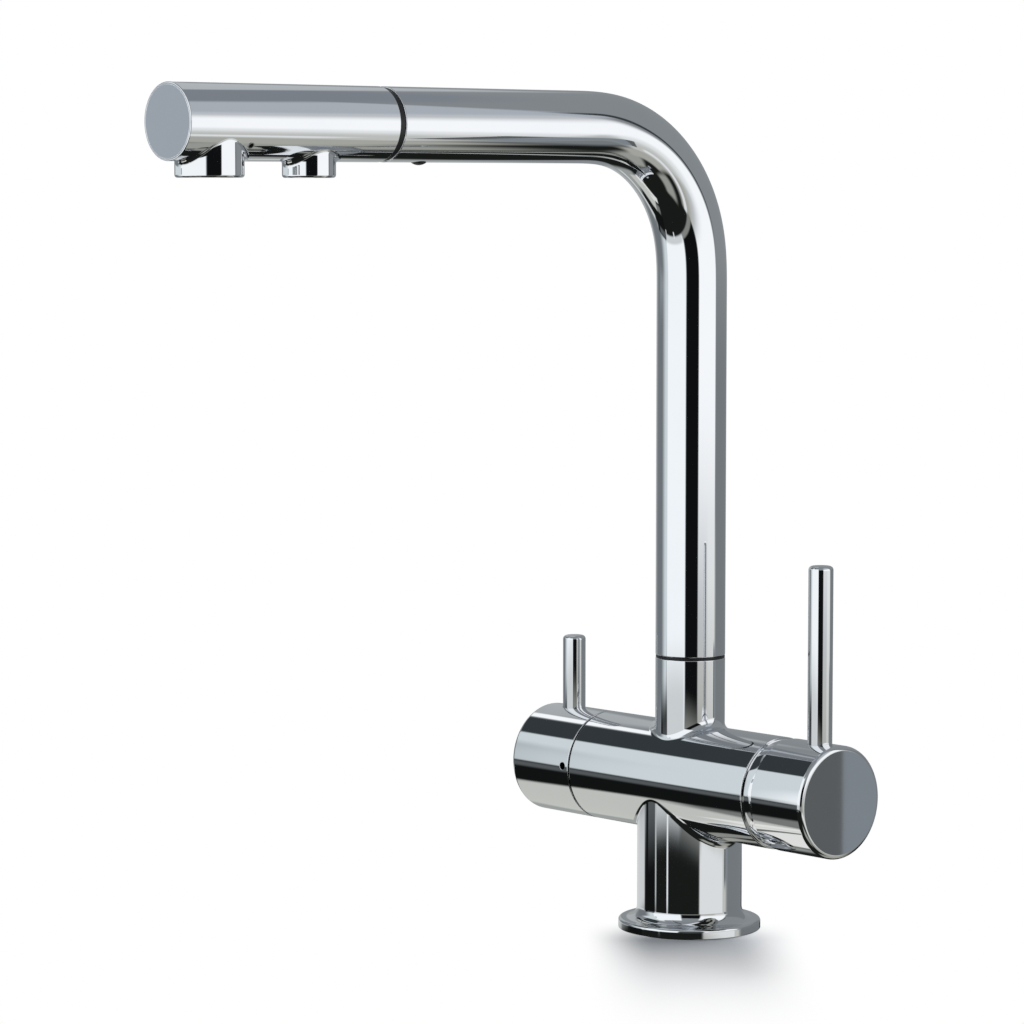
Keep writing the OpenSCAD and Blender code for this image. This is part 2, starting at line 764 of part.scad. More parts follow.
module hose_ferrules() {
    start = tail_back - ferrule_len - face_gap;
    color(STEEL) for (h = [[mixed_x, mixed_hose_d], [filter_x, filter_hose_d]]) {
        difference() {
            y_bar(start, start + ferrule_len, h[1] + 2 * ferrule_wall, h[0]);
            y_bar(start - eps, start + ferrule_len + eps, h[1] + 2 * fix_fit, h[0]);
        }
    }
}

// The two inlet holes and the outlet hole that seal, case and disc share
module mixer_ports(x0, x1, with_outlet) {
    for (side = [-1, 1]) {
        x_drill(x0, x1, drill_d, side * port_y, DISC_PORT_DROP);
    }
    if (with_outlet) {
        x_drill(x0, x1, drill_d - 1, -mixed_out_y, 0);
    }
}

module mixer_seal() {
    color(RUBBER) difference() {
        x_bar(mixer_floor, case_start, cartridge_d - 1);
        mixer_ports(mixer_floor - eps, case_start + eps, true);
    }
}

module mixer_cartridge() {
    color(PLASTIC) difference() {
        x_bar(case_start, case_end, cartridge_d);
        x_bar(case_start + case_base, case_end - case_top, 2 * case_cavity_r);
        x_bar(case_end - case_top - eps, case_end + eps, turret_d + 2 * run_fit);
        mixer_ports(case_start - eps, case_start + case_base + eps, true);
    }
}

module mixer_fixed_disc() {
    color(CERAMIC) difference() {
        x_bar(fixed_disc_x, fixed_disc_x + fixed_disc_t, 2 * fixed_disc_r);
        mixer_ports(fixed_disc_x - eps, fixed_disc_x + fixed_disc_t + eps, false);
    }
}

module mixer_moving_disc() {
    color(CERAMIC) difference() {
        x_bar(moving_disc_x, moving_disc_x + moving_disc_t, 2 * moving_disc_r);
        x_bar(moving_disc_x - eps, moving_disc_x + 1.2, moving_disc_r);
    }
}

module mixer_disc_carrier() {
    color(PLASTIC) difference() {
        x_bar(carrier_x, carrier_x + carrier_t, 2 * moving_disc_r);
        x_bar(stem_start - 0.4, carrier_x + carrier_t + eps, 2 * stem_socket_r);
    }
}

module mixer_turret() {
    reach = turret_x - pivot_x;
    window_r = stem_d / 2 + abs(reach) * sin(flow_tilt) + 0.25;
    color(PLASTIC) difference() {
        union() {
            x_bar(turret_x, turret_end, turret_d);
            x_bar(turret_x, turret_flange_end, 2 * case_cavity_r - 1);
        }
        x_bar(turret_x - eps, turret_end + eps, 2 * window_r);
    }
}

module cartridge_nut() {
    color(BRASS) difference() {
        x_bar(case_end, cartridge_nut_end, 2 * (mixer_pocket_r - fix_fit));
        x_bar(case_end - eps, cartridge_nut_end + eps, turret_d + 4);
    }
}

module mixer_collar() {
    skirt_start = cartridge_nut_end + face_gap;
    color(CHROME) difference() {
        union() {
            intersection() {
                translate([pivot_x, 0, barrel_z]) sphere(r = dome_r);
                x_bar(barrel_right, collar_end, 2 * barrel_d);
            }
            x_bar(skirt_start, barrel_right + 1, 2 * (mixer_pocket_r - fix_fit));
        }
        x_bar(skirt_start - eps, collar_end + eps, turret_d + 2 * collar_bore_gap);
    }
}

module mixer_stem() {
    color(BRASS) x_bar(stem_start, stem_end, stem_d);
}

// Half outline of a knob: rounded outer edge, bevelled rim, and a hollow around the hub that is open
// towards the barrel. Lengths count from the rim, and the hollow is wider up to wide_end.
module knob_outline(h, wide_r, wide_end, hub_start) {
    difference() {
        rounded_bar_outline(barrel_r, h, knob_edge);
        polygon([[barrel_r - seam_bevel, 0], [barrel_r - seam_bevel, -eps], [barrel_r + eps, -eps],
            [barrel_r + eps, seam_bevel], [barrel_r, seam_bevel]]);
        polygon([[-eps, -eps], [wide_r, -eps], [wide_r, wide_end], [cavity_r, wide_end],
            [cavity_r, h - knob_face], [hub_d / 2, h - knob_face], [hub_d / 2, hub_start],
            [-eps, hub_start]]);
    }
}

// Knob with its cross boss, before the holes are drilled
module knob_blank(x0, x_end, wide_r, wide_x, hub_start_x, boss_x) {
    union() {
        translate([x0, 0, barrel_z]) rotate([0, 90, 0]) rotate_extrude()
            knob_outline(x_end - x0, wide_r, wide_x - x0, hub_start_x - x0);
        z_bar(barrel_z - cavity_r - 0.5, barrel_z + cavity_r + 0.5, boss_d, boss_x);
    }
}

// Hole for a rod, from above
module rod_hole(x, d) {
    z_bar(barrel_z + barrel_r - rod_depth, barrel_z + barrel_r + eps, d + 2 * fix_fit, x);
}

module mixer_knob() {
    color(CHROME) difference() {
        knob_blank(knob_rim_x, mixer_knob_end, knob_rim_r, cavity_step_x, hub_x, long_rod_x);
        x_bar(hub_x - eps, stem_end, stem_d + 2 * fix_fit);
        rod_hole(long_rod_x, long_rod_d);
        z_bar(barrel_z - barrel_r - eps, barrel_z, grub_d + 2 * fix_fit, long_rod_x);
    }
}

// Lever rod with a rounded tip
module lever_rod(x, d, top) {
    z0 = barrel_z + barrel_r - rod_depth + face_gap;
    translate([x, 0, z0]) rounded_bar(d / 2, barrel_z + top - z0, rod_tip);
}

module mixer_rod() { color(CHROME) lever_rod(long_rod_x, long_rod_d, long_rod_top); }

// Grub screw with a hexagon socket, its tip at the given radius from the stem's axis
module grub_screw(tip_r) {
    grub_len = 5;
    translate([0, 0, tip_r]) difference() {
        cylinder(d = grub_d, h = grub_len);
        translate([0, 0, grub_len - 1.5]) cylinder(d = grub_d * 0.5, h = 2, $fn = 6);
    }
}

module mixer_grub_screw() {
    color(STEEL) translate([long_rod_x, 0, barrel_z]) mirror([0, 0, 1]) grub_screw(stem_d / 2 + fix_fit);
}

module filter_ports(x0, x1) {
    for (side = [-1, 1]) {
        x_drill(x0, x1, drill_d, side * filter_port_y, 0);
    }
}

module filter_seal() {
    color(RUBBER) left_side() difference() {
        x_bar(filter_floor, valve_start, valve_d - 1);
        filter_ports(filter_floor - eps, valve_start + eps);
    }
}

module filter_valve() {
    color(BRASS) left_side() difference() {
        x_bar(valve_start, valve_end, valve_d);
        x_bar(valve_start + valve_base, driver_end + face_gap, 2 * valve_cavity_r);
        x_bar(driver_end, valve_end + eps, valve_stem_d + 2 * run_fit);
        filter_ports(valve_start - eps, valve_start + valve_base + eps);
    }
}

module filter_fixed_disc() {
    color(CERAMIC) left_side() difference() {
        x_bar(filter_disc_x, filter_disc_x + filter_disc_t, 2 * (valve_cavity_r - run_fit));
        filter_ports(filter_disc_x - eps, filter_disc_x + filter_disc_t + eps);
    }
}

module filter_moving_disc() {
    color(CERAMIC) left_side() difference() {
        x_bar(filter_disc2_x, filter_disc2_x + filter_disc_t, 2 * (valve_cavity_r - run_fit));
        translate([filter_disc2_x - eps, -valve_cavity_r, barrel_z - drill_d / 2])
            cube([1.5 + eps, 2 * valve_cavity_r, drill_d]);
    }
}

module filter_nut() {
    color(BRASS) left_side() difference() {
        x_bar(valve_end, barrel_left - face_gap, 2 * (valve_pocket_r - fix_fit));
        x_bar(valve_end - eps, barrel_left + eps, valve_stem_d + 4);
    }
}

module filter_stem() {
    color(BRASS) left_side() union() {
        x_bar(driver_x, driver_end, 2 * (valve_cavity_r - run_fit));
        x_bar(driver_x, filter_stem_end, valve_stem_d);
    }
}

// Places the filter knob's grub screw: along +Z from the stem's axis, turned to the front
module filter_grub_axis() {
    translate([filter_rim_x + filter_grub_at, 0, barrel_z]) rotate([90 - filter_grub_angle, 0, 0])
        children();
}

module filter_knob() {
    color(CHROME) left_side() difference() {
        union() {
            knob_blank(filter_rim_x, filter_knob_end, cavity_r, filter_rim_x + 1, filter_rim_x,
                short_rod_x);
            filter_grub_axis() cylinder(d = grub_d + 3, h = cavity_r + 0.5);
        }
        x_bar(filter_rim_x - eps, filter_stem_end, valve_stem_d + 2 * fix_fit);
        rod_hole(short_rod_x, short_rod_d);
        filter_grub_axis() cylinder(d = grub_d + 2 * fix_fit, h = barrel_r + 1);
    }
}

module filter_rod() {
    color(CHROME) left_side() lever_rod(short_rod_x, short_rod_d, short_rod_top);
}

module filter_grub_screw() {
    color(STEEL) left_side() filter_grub_axis() grub_screw(valve_stem_d / 2 + fix_fit);
}

body_casting();
base_gasket();
spout_glide_ring();
spout_stop_screw();
spout_tube();
spout_spigot();
spout_seals();
dock_sleeve();
dock_ring();
dock_screw();
head_shell();
head_end_cap();
head_core();
head_core_screw();
tail_seal();
mixed_check_valve();
filter_check_valve();
main_aerator_ring();
main_aerator_insert();
main_aerator_seal();
small_aerator_ring();
small_aerator_insert();
small_aerator_seal();
mixed_hose_base();
filter_hose_base();
mixed_hose_spout();
filter_hose_spout();
mixed_hose_head();
filter_hose_head();
hose_ferrules();
mixer_seal();
mixer_cartridge();
mixer_fixed_disc();
mixer_moving_disc();
mixer_disc_carrier();
mixer_turret();
cartridge_nut();
mixer_collar();
mixer_stem();
mixer_knob();
mixer_rod();
mixer_grub_screw();
filter_seal();
filter_valve();
filter_fixed_disc();
filter_moving_disc();
filter_nut();
filter_stem();
filter_knob();
filter_rod();
filter_grub_screw();
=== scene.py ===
"""Looks of the drinking water filter tap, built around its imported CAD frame.

The chrome pieces that a person sees are modelled again, with the true surface normal kept at
every vertex, because a mirror finish shows each facet of a coarse mesh. The pieces inside keep
their CAD meshes, and each gets a finish of its own.

Lengths of the object's pieces are in millimetres and those of the studio in metres. Angles in
fields are in degrees.
"""

import logging
import math
from collections.abc import Sequence
from dataclasses import dataclass
from enum import Enum
from functools import cache

import bmesh
import bpy
from mathutils import Matrix, Vector


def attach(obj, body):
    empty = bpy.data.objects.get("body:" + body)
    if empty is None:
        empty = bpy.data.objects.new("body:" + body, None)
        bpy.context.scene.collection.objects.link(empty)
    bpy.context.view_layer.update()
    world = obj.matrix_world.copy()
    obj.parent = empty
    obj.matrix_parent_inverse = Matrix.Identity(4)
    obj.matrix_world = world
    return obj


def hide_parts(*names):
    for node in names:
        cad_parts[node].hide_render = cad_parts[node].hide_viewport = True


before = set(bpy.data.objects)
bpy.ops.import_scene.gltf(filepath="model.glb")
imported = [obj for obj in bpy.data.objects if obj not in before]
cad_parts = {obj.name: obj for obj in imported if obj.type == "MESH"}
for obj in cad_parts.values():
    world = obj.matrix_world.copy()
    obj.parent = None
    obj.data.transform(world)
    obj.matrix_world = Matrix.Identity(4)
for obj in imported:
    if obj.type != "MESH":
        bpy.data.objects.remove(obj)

LOG = logging.getLogger("filter_tap")
MM = 0.001
# The steps in a full turn of a large piece, and the angle of one step.
ROUND = 192
STEP = 2 * math.pi / ROUND
# Vertices closer than this, in millimetres, are one vertex.
WELD = 0.002
# A face lies on the curved surface where its normal is this near the kept one, as a cosine.
SAME_SURFACE = 0.7
# The sockets of a Mix node that mixes colours.
MIX_A, MIX_B, MIX_RESULT = 6, 7, 2
# The lowest and the highest that two noises come to when they are multiplied.
NOISE_PRODUCT = (0.1, 0.45)
RIGHT = Vector((1, 0, 0)).freeze()
FRONT = Vector((0, -1, 0)).freeze()
UP = Vector((0, 0, 1)).freeze()

Tree = bpy.types.NodeTree
Socket = bpy.types.NodeSocket
Material = bpy.types.Material
Piece = bpy.types.Object
Vert = bmesh.types.BMVert
Corner = tuple[float, float, float]


class Body(Enum):
    """The CAD bodies that pieces ride on."""

    BASE = "base"
    SPOUT = "spout"
    HEAD = "head"
    MIXER_LEVER = "mixer_lever"
    FILTER_LEVER = "filter_lever"


class Axis(Enum):
    """The axis that a turned piece was cut about."""

    X = "X"
    Y = "Y"
    Z = "Z"


def linear(colour: str) -> tuple[float, float, float, float]:
    """Turn an sRGB hex colour into the linear colour that a shader takes.

    Args:
        colour: Six hex digits, such as "E7E8EA".

    Returns:
        Red, green, blue and alpha, linear.
    """
    parts = [int(colour[i : i + 2], 16) / 255 for i in (0, 2, 4)]
    flat = [c / 12.92 if c <= 0.04045 else ((c + 0.055) / 1.055) ** 2.4 for c in parts]
    return (flat[0], flat[1], flat[2], 1.0)


def add_node(
    tree: Tree,
    kind: str,
    inputs: dict[str | int, object] | None = None,
    **settings: object,
) -> bpy.types.Node:
    """Add one node to a tree, with its settings, values and links.

    Args:
        tree: The node tree that gets the node.
        kind: The node's Blender type.
        inputs: For each input socket, a value, or an output socket to link from.
        settings: Properties of the node itself.

    Returns:
        The new node.
    """
    node = tree.nodes.new(kind)
    for name, value in settings.items():
        setattr(node, name, value)
    for key, value in (inputs or {}).items():
        if isinstance(value, Socket):
            tree.links.new(value, node.inputs[key])
        else:
            node.inputs[key].default_value = value
    return node


def fresh_tree(owner: Material | bpy.types.World) -> Tree:
    """Switch a material or a world to nodes and empty its tree."""
    owner.use_nodes = True
    owner.node_tree.nodes.clear()
    return owner.node_tree


def add_object(name: str, data: bpy.types.ID) -> Piece:
    """Make an object of its data and put it in the scene."""
    made = bpy.data.objects.new(name, data)
    bpy.context.scene.collection.objects.link(made)
    return made


@dataclass(frozen=True)
class Finish:
    """A surface finish: a principled shader whose colour, roughness and relief come from nodes."""

    name: str
    colour: str
    colour_worn: str
    roughness: float
    roughness_spread: float
    patch_mm: float
    grain_mm: float
    relief_mm: float = 0.0
    metallic: float = 0.0

    def build(self) -> Material:
        """Make the material.

        Returns:
            The finished material.
        """
        material = bpy.data.materials.new(self.name)
        tree = fresh_tree(material)
        where = add_node(tree, "ShaderNodeTexCoord").outputs["Object"]
        patches = add_node(
            tree,
            "ShaderNodeTexNoise",
            {"Vector": where, "Scale": 1 / (self.patch_mm * MM), "Detail": 3.0},
        ).outputs[0]
        grain = self.grain(tree, where)
        tint = add_node(
            tree,
            "ShaderNodeMix",
            {"Factor": patches, MIX_A: linear(self.colour), MIX_B: linear(self.colour_worn)},
            data_type="RGBA",
        )
        mixed = add_node(tree, "ShaderNodeMath", {0: patches, 1: grain}, operation="MULTIPLY")
        rough = add_node(
            tree,
            "ShaderNodeMapRange",
            {
                "Value": mixed.outputs[0],
                "From Min": NOISE_PRODUCT[0],
                "From Max": NOISE_PRODUCT[1],
                "To Min": self.roughness,
                "To Max": self.roughness + self.roughness_spread,
            },
        )
        shader = add_node(
            tree,
            "ShaderNodeBsdfPrincipled",
            {
                "Base Color": self.painted(tree, tint.outputs[MIX_RESULT], grain),
                "Roughness": rough.outputs[0],
                "Metallic": self.metallic,
            },
        )
        if self.relief_mm:
            bump = add_node(
                tree,
                "ShaderNodeBump",
                {"Height": grain, "Strength": 1.0, "Distance": self.relief_mm * MM},
            )
            tree.links.new(bump.outputs[0], shader.inputs["Normal"])
        add_node(tree, "ShaderNodeOutputMaterial", {"Surface": shader.outputs[0]})
        return material

    def grain(self, tree: Tree, where: Socket) -> Socket:
        """Add the finish's fine texture.

        Args:
            tree: The material's nodes.
            where: The place on the piece.

        Returns:
            The texture's value, from 0 to 1.
        """
        return add_node(
            tree,
            "ShaderNodeTexNoise",
            {"Vector": where, "Scale": 1 / (self.grain_mm * MM), "Detail": 2.0},
        ).outputs[0]

    def painted(self, tree: Tree, tint: Socket, grain: Socket) -> Socket:
        """The colour that the shader takes, which a plain finish leaves as its tint.

        Args:
            tree: The material's nodes. A plain finish doesn't use it.
            tint: The patchy base colour.
            grain: The fine texture. A plain finish doesn't use it.

        Returns:
            The colour's socket.
        """
        return tint


@dataclass(frozen=True)
class TurnedMetal(Finish):
    """A metal cut on a lathe or rolled, with fine rings about one axis."""

    axis: Axis = Axis.X

    def grain(self, tree: Tree, where: Socket) -> Socket:
        """Add the cutter's rings, as bands along the axis.

        Args:
            tree: The material's nodes.
            where: The place on the piece.

        Returns:
            The rings' value, from 0 to 1.
        """
        wave = add_node(
            tree,
            "ShaderNodeTexWave",
            {
                "Vector": where,
                "Scale": math.pi / (10 * self.grain_mm * MM),
                "Distortion": 1.2,
                "Detail": 1.0,
                "Detail Scale": 1.5,
            },
            wave_type="BANDS",
            bands_direction=self.axis.value,
        )
        return wave.outputs["Fac"]


@dataclass(frozen=True)
class BraidedSleeve(Finish):
    """The woven sleeve of a hose that runs along Y."""

    centre_x_mm: float = 0.0
    centre_z_mm: float = 0.0
    strands: int = 12
    pitch_mm: float = 9.0
    pitches_round: float = 4.0
    colour_shadow: str = "0E0F10"

    def grain(self, tree: Tree, where: Socket) -> Socket:
        """Add two sets of strands that wind opposite ways round the hose.

        Args:
            tree: The material's nodes.
            where: The place on the piece.

        Returns:
            The weave's height, from 0 to 1.
        """
        moved = add_node(
            tree,
            "ShaderNodeMapping",
            {"Vector": where, "Location": (-self.centre_x_mm * MM, 0.0, -self.centre_z_mm * MM)},
        )
        spot = add_node(tree, "ShaderNodeSeparateXYZ", {0: moved.outputs[0]}).outputs
        turn = add_node(tree, "ShaderNodeMath", {0: spot[2], 1: spot[0]}, operation="ARCTAN2")
        lean = 2 * math.pi * self.strands / (self.pitch_mm * MM) / self.pitches_round
        around, along = (
            add_node(tree, "ShaderNodeMath", {0: value, 1: rate}, operation="MULTIPLY").outputs[0]
            for value, rate in ((turn.outputs[0], float(self.strands)), (spot[1], lean))
        )
        waves = []
        for way in ("ADD", "SUBTRACT"):
            phase = add_node(tree, "ShaderNodeMath", {0: along, 1: around}, operation=way)
            sine = add_node(tree, "ShaderNodeMath", {0: phase.outputs[0]}, operation="SINE")
            waves.append(sine.outputs[0])
        top = add_node(tree, "ShaderNodeMath", {0: waves[0], 1: waves[1]}, operation="MAXIMUM")
        level = add_node(
            tree,
            "ShaderNodeMapRange",
            {"Value": top.outputs[0], "From Min": -1.0, "From Max": 1.0},
        )
        return level.outputs[0]

    def painted(self, tree: Tree, tint: Socket, grain: Socket) -> Socket:
        """Darken the gaps between the strands.

        Args:
            tree: The material's nodes.
            tint: The strands' colour.
            grain: The weave's height.

        Returns:
            The colour's socket.
        """
        mix = add_node(
            tree,
            "ShaderNodeMix",
            {"Factor": grain, MIX_A: linear(self.colour_shadow), MIX_B: tint},
            data_type="RGBA",
        )
        return mix.outputs[MIX_RESULT]


# The numbers of a finish are its roughness and how far that spreads, and then, in millimetres,
# the size of its patches, the size of its grain and the grain's relief.

# Bright chrome plate over buffed brass: a cool mirror. Buffing leaves patches a couple of
# centimetres across that are very slightly hazier.
POLISHED_CHROME = Finish(
    "polished_chrome_plate", "E8E9EB", "E3E5E8", 0.022, 0.016, 24.0, 0.6, metallic=1.0
)
# Moulded acetal, black: a low sheen, with a spark-eroded grain too fine to count.
BLACK_ACETAL = Finish("moulded_black_acetal", "151617", "1C1D1F", 0.36, 0.12, 9.0, 0.5, 0.004)
# Moulded acetal, natural: waxy off-white with the same grain.
WHITE_ACETAL = Finish("moulded_white_acetal", "E9E7E0", "DFDDD5", 0.34, 0.14, 12.0, 0.6, 0.004)
# Nitrile rubber: matt charcoal with a faint bloom.
NITRILE_RUBBER = Finish("nitrile_rubber", "1B1B1C", "262627", 0.62, 0.16, 5.0, 0.4, 0.006)
# Alumina ceramic, lapped: dense and cool white, nearly polished on its faces.
LAPPED_ALUMINA = Finish("lapped_alumina", "F0EEE8", "E6E4DD", 0.14, 0.1, 6.0, 0.3)
# Free-cutting brass, left raw: yellow, with the cutter's rings.
TURNED_BRASS_X, TURNED_BRASS_Z = (
    TurnedMetal(name, "CBA662", "BD9650", 0.24, 0.12, 10.0, 0.35, 0.004, 1.0, axis)
    for name, axis in (("turned_brass_x", Axis.X), ("turned_brass_z", Axis.Z))
)
# Stainless steel screws and rolled ferrules: greyer than chrome, with fine turning rings.
TURNED_STEEL = TurnedMetal(
    "turned_stainless_steel", "B9BABA", "A9ABAC", 0.2, 0.12, 4.0, 0.2, 0.002, 1.0, Axis.Y
)
# Woven polyester over a rubber hose: dark grey strands in two directions, shadowed where they
# cross. Each sleeve is woven about its own hose's centre.
MIXED_SLEEVE, FILTER_SLEEVE = (
    BraidedSleeve(
        name, "4A4C4E", "3C3E40", 0.45, 0.2, 6.0, 0.6, 0.25,
        centre_x_mm=centre, centre_z_mm=321.1, strands=strands,
    )
    for name, centre, strands in (
        ("braided_sleeve_mixed", 4.225, 12),
        ("braided_sleeve_filter", -4.675, 10),
    )
)
# The same weave on the hoses inside the body, where strands would be too fine to see.
BASE_SLEEVE = Finish("braided_sleeve_cut_end", "3C3E40", "2A2B2D", 0.55, 0.2, 3.0, 0.7, 0.1)
# Drilled brass that was left unplated, coloured nearly black as painted shade inside its deep,
# narrow holes.
BRASS_BORE_PAINTED_SHADE = Finish(
    "brass_bore_painted_shade", "2A241B", "1C1813", 0.5, 0.2, 2.0, 0.3, metallic=1.0
)

CARRIED_OVER: dict[Finish, tuple[str, ...]] = {
    NITRILE_RUBBER: (
        "base_gasket",
        "filter_seal",
        "main_aerator_seal",
        "mixer_seal",
        "small_aerator_seal",
        "spout_seals",
        "tail_seal",
    ),
    TURNED_BRASS_X: ("cartridge_nut", "filter_nut", "filter_stem", "filter_valve", "mixer_stem"),
    TURNED_BRASS_Z: ("spout_spigot",),
    TURNED_STEEL: ("filter_grub_screw", "hose_ferrules", "mixer_grub_screw", "spout_stop_screw"),
    BLACK_ACETAL: ("dock_sleeve",),
    WHITE_ACETAL: (
        "filter_check_valve",
        "head_core",
        "main_aerator_insert",
        "mixed_check_valve",
        "mixer_cartridge",
        "mixer_disc_carrier",
        "mixer_turret",
        "small_aerator_insert",
    ),
    LAPPED_ALUMINA: (
        "filter_fixed_disc",
        "filter_moving_disc",
        "mixer_fixed_disc",
        "mixer_moving_disc",
    ),
    POLISHED_CHROME: ("main_aerator_ring", "small_aerator_ring"),
    BASE_SLEEVE: ("filter_hose_base", "mixed_hose_base"),
    FILTER_SLEEVE: ("filter_hose_spout",),
    MIXED_SLEEVE: ("mixed_hose_spout",),
}


@cache
def material_of(finish: Finish) -> Material:
    """The material of a finish, built when it is first asked for."""
    return finish.build()


def carry_over() -> None:
    """Dress the CAD pieces that stay as they are."""
    for finish, nodes in CARRIED_OVER.items():
        material = material_of(finish)
        for node in nodes:
            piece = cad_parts[node]
            if not piece.material_slots:
                piece.data.materials.append(material)
            for place in piece.material_slots:
                place.material = material
            LOG.info("%s keeps its CAD mesh, in %s", node, finish.name)


def settle(piece: Piece, body: Body, node: str, slot: str, *finishes: Finish) -> None:
    """Dress a new piece, put it on its body and let it stand for its CAD node.

    Args:
        piece: The new piece.
        body: The body that it rides on.
        node: The CAD node that it stands for.
        slot: The record's material slot that it takes its finish from. It is not used.
        finishes: Its finishes, in the order of its material slots.
    """
    for finish in finishes:
        piece.data.materials.append(material_of(finish))
    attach(piece, body.value)
    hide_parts(node)
    LOG.info("%s rides on %s and stands for %s", piece.name, body.value, node)


@dataclass(frozen=True)
class Spot:
    """A point of a surface and the surface's normal there, in millimetres."""

    place: Vector
    normal: Vector


@dataclass(frozen=True)
class Bend:
    """A point of a turned outline: radius, height, and the normal's two parts."""

    radius: float
    height: float
    out: float
    up: float


def rounded_outline(corners: Sequence[Corner], steps: int = 8) -> list[Bend]:
    """Round the corners of an outline and give each of its points a normal.

    Args:
        corners: Radius, height and rounding of each corner, in millimetres. A rounding of
            zero leaves the corner sharp, with the normal of its more upright side.
        steps: How many pieces each rounding has.

    Returns:
        The outline's points in the same order.
    """
    ways = [
        Vector((b[0] - a[0], b[1] - a[1])).normalized()
        for a, b in zip(corners, corners[1:], strict=False)
    ]
    sides = [Vector((way.y, -way.x)) for way in ways]
    points = [Bend(corners[0][0], corners[0][1], sides[0].x, sides[0].y)]
    for i, (radius, height, rounding) in enumerate(corners[1:-1], start=1):
        before, after = sides[i - 1], sides[i]
        if not rounding:
            keep = before if abs(before.x) >= abs(after.x) else after
            points.append(Bend(radius, height, keep.x, keep.y))
            continue
        turn = math.atan2(before.cross(after), before.dot(after))
        offset = math.copysign(rounding, turn)
        start = Vector((radius, height)) - ways[i - 1] * rounding * math.tan(abs(turn) / 2)
        centre = start - before * offset
        for k in range(steps + 1):
            c, s = math.cos(turn * k / steps), math.sin(turn * k / steps)
            normal = Vector((before.x * c - before.y * s, before.x * s + before.y * c))
            spot = centre + normal * offset
            points.append(Bend(spot.x, spot.y, normal.x, normal.y))
    last = sides[-1]
    points.append(Bend(corners[-1][0], corners[-1][1], last.x, last.y))
    return points


def dome_outline(
    centre: float, radius: float, heights: tuple[float, float], steps: int
) -> list[Bend]:
    """Points of a ball's outline between two heights.

    Args:
        centre: The height of the ball's centre.
        radius: The ball's radius.
        heights: Where the outline starts and ends.
        steps: How many pieces it has.

    Returns:
        The outline's points.
    """
    first, last = (math.asin((h - centre) / radius) for h in heights)
    angles = [first + (last - first) * k / steps for k in range(steps + 1)]
    return [
        Bend(radius * math.cos(a), centre + radius * math.sin(a), math.cos(a), math.sin(a))
        for a in angles
    ]


@dataclass(frozen=True)
class Spindle:
    """The axis of a turned piece: a point on it, its direction and a direction across it."""

    origin: Vector
    along: Vector
    across: Vector


@dataclass(frozen=True)
class Pipe(Spindle):
    """A straight round skin about its axis that branches and holes open into, in millimetres."""

    radius: float

    @property
    def side(self) -> Vector:
        """The direction of a quarter turn."""
        return self.along.cross(self.across)

    def spot(self, reach: float, angle: float) -> Spot:
        """The spot at a distance along the pipe and an angle round it."""
        normal = self.across * math.cos(angle) + self.side * math.sin(angle)
        return Spot(self.origin + self.along * reach + normal * self.radius, normal)


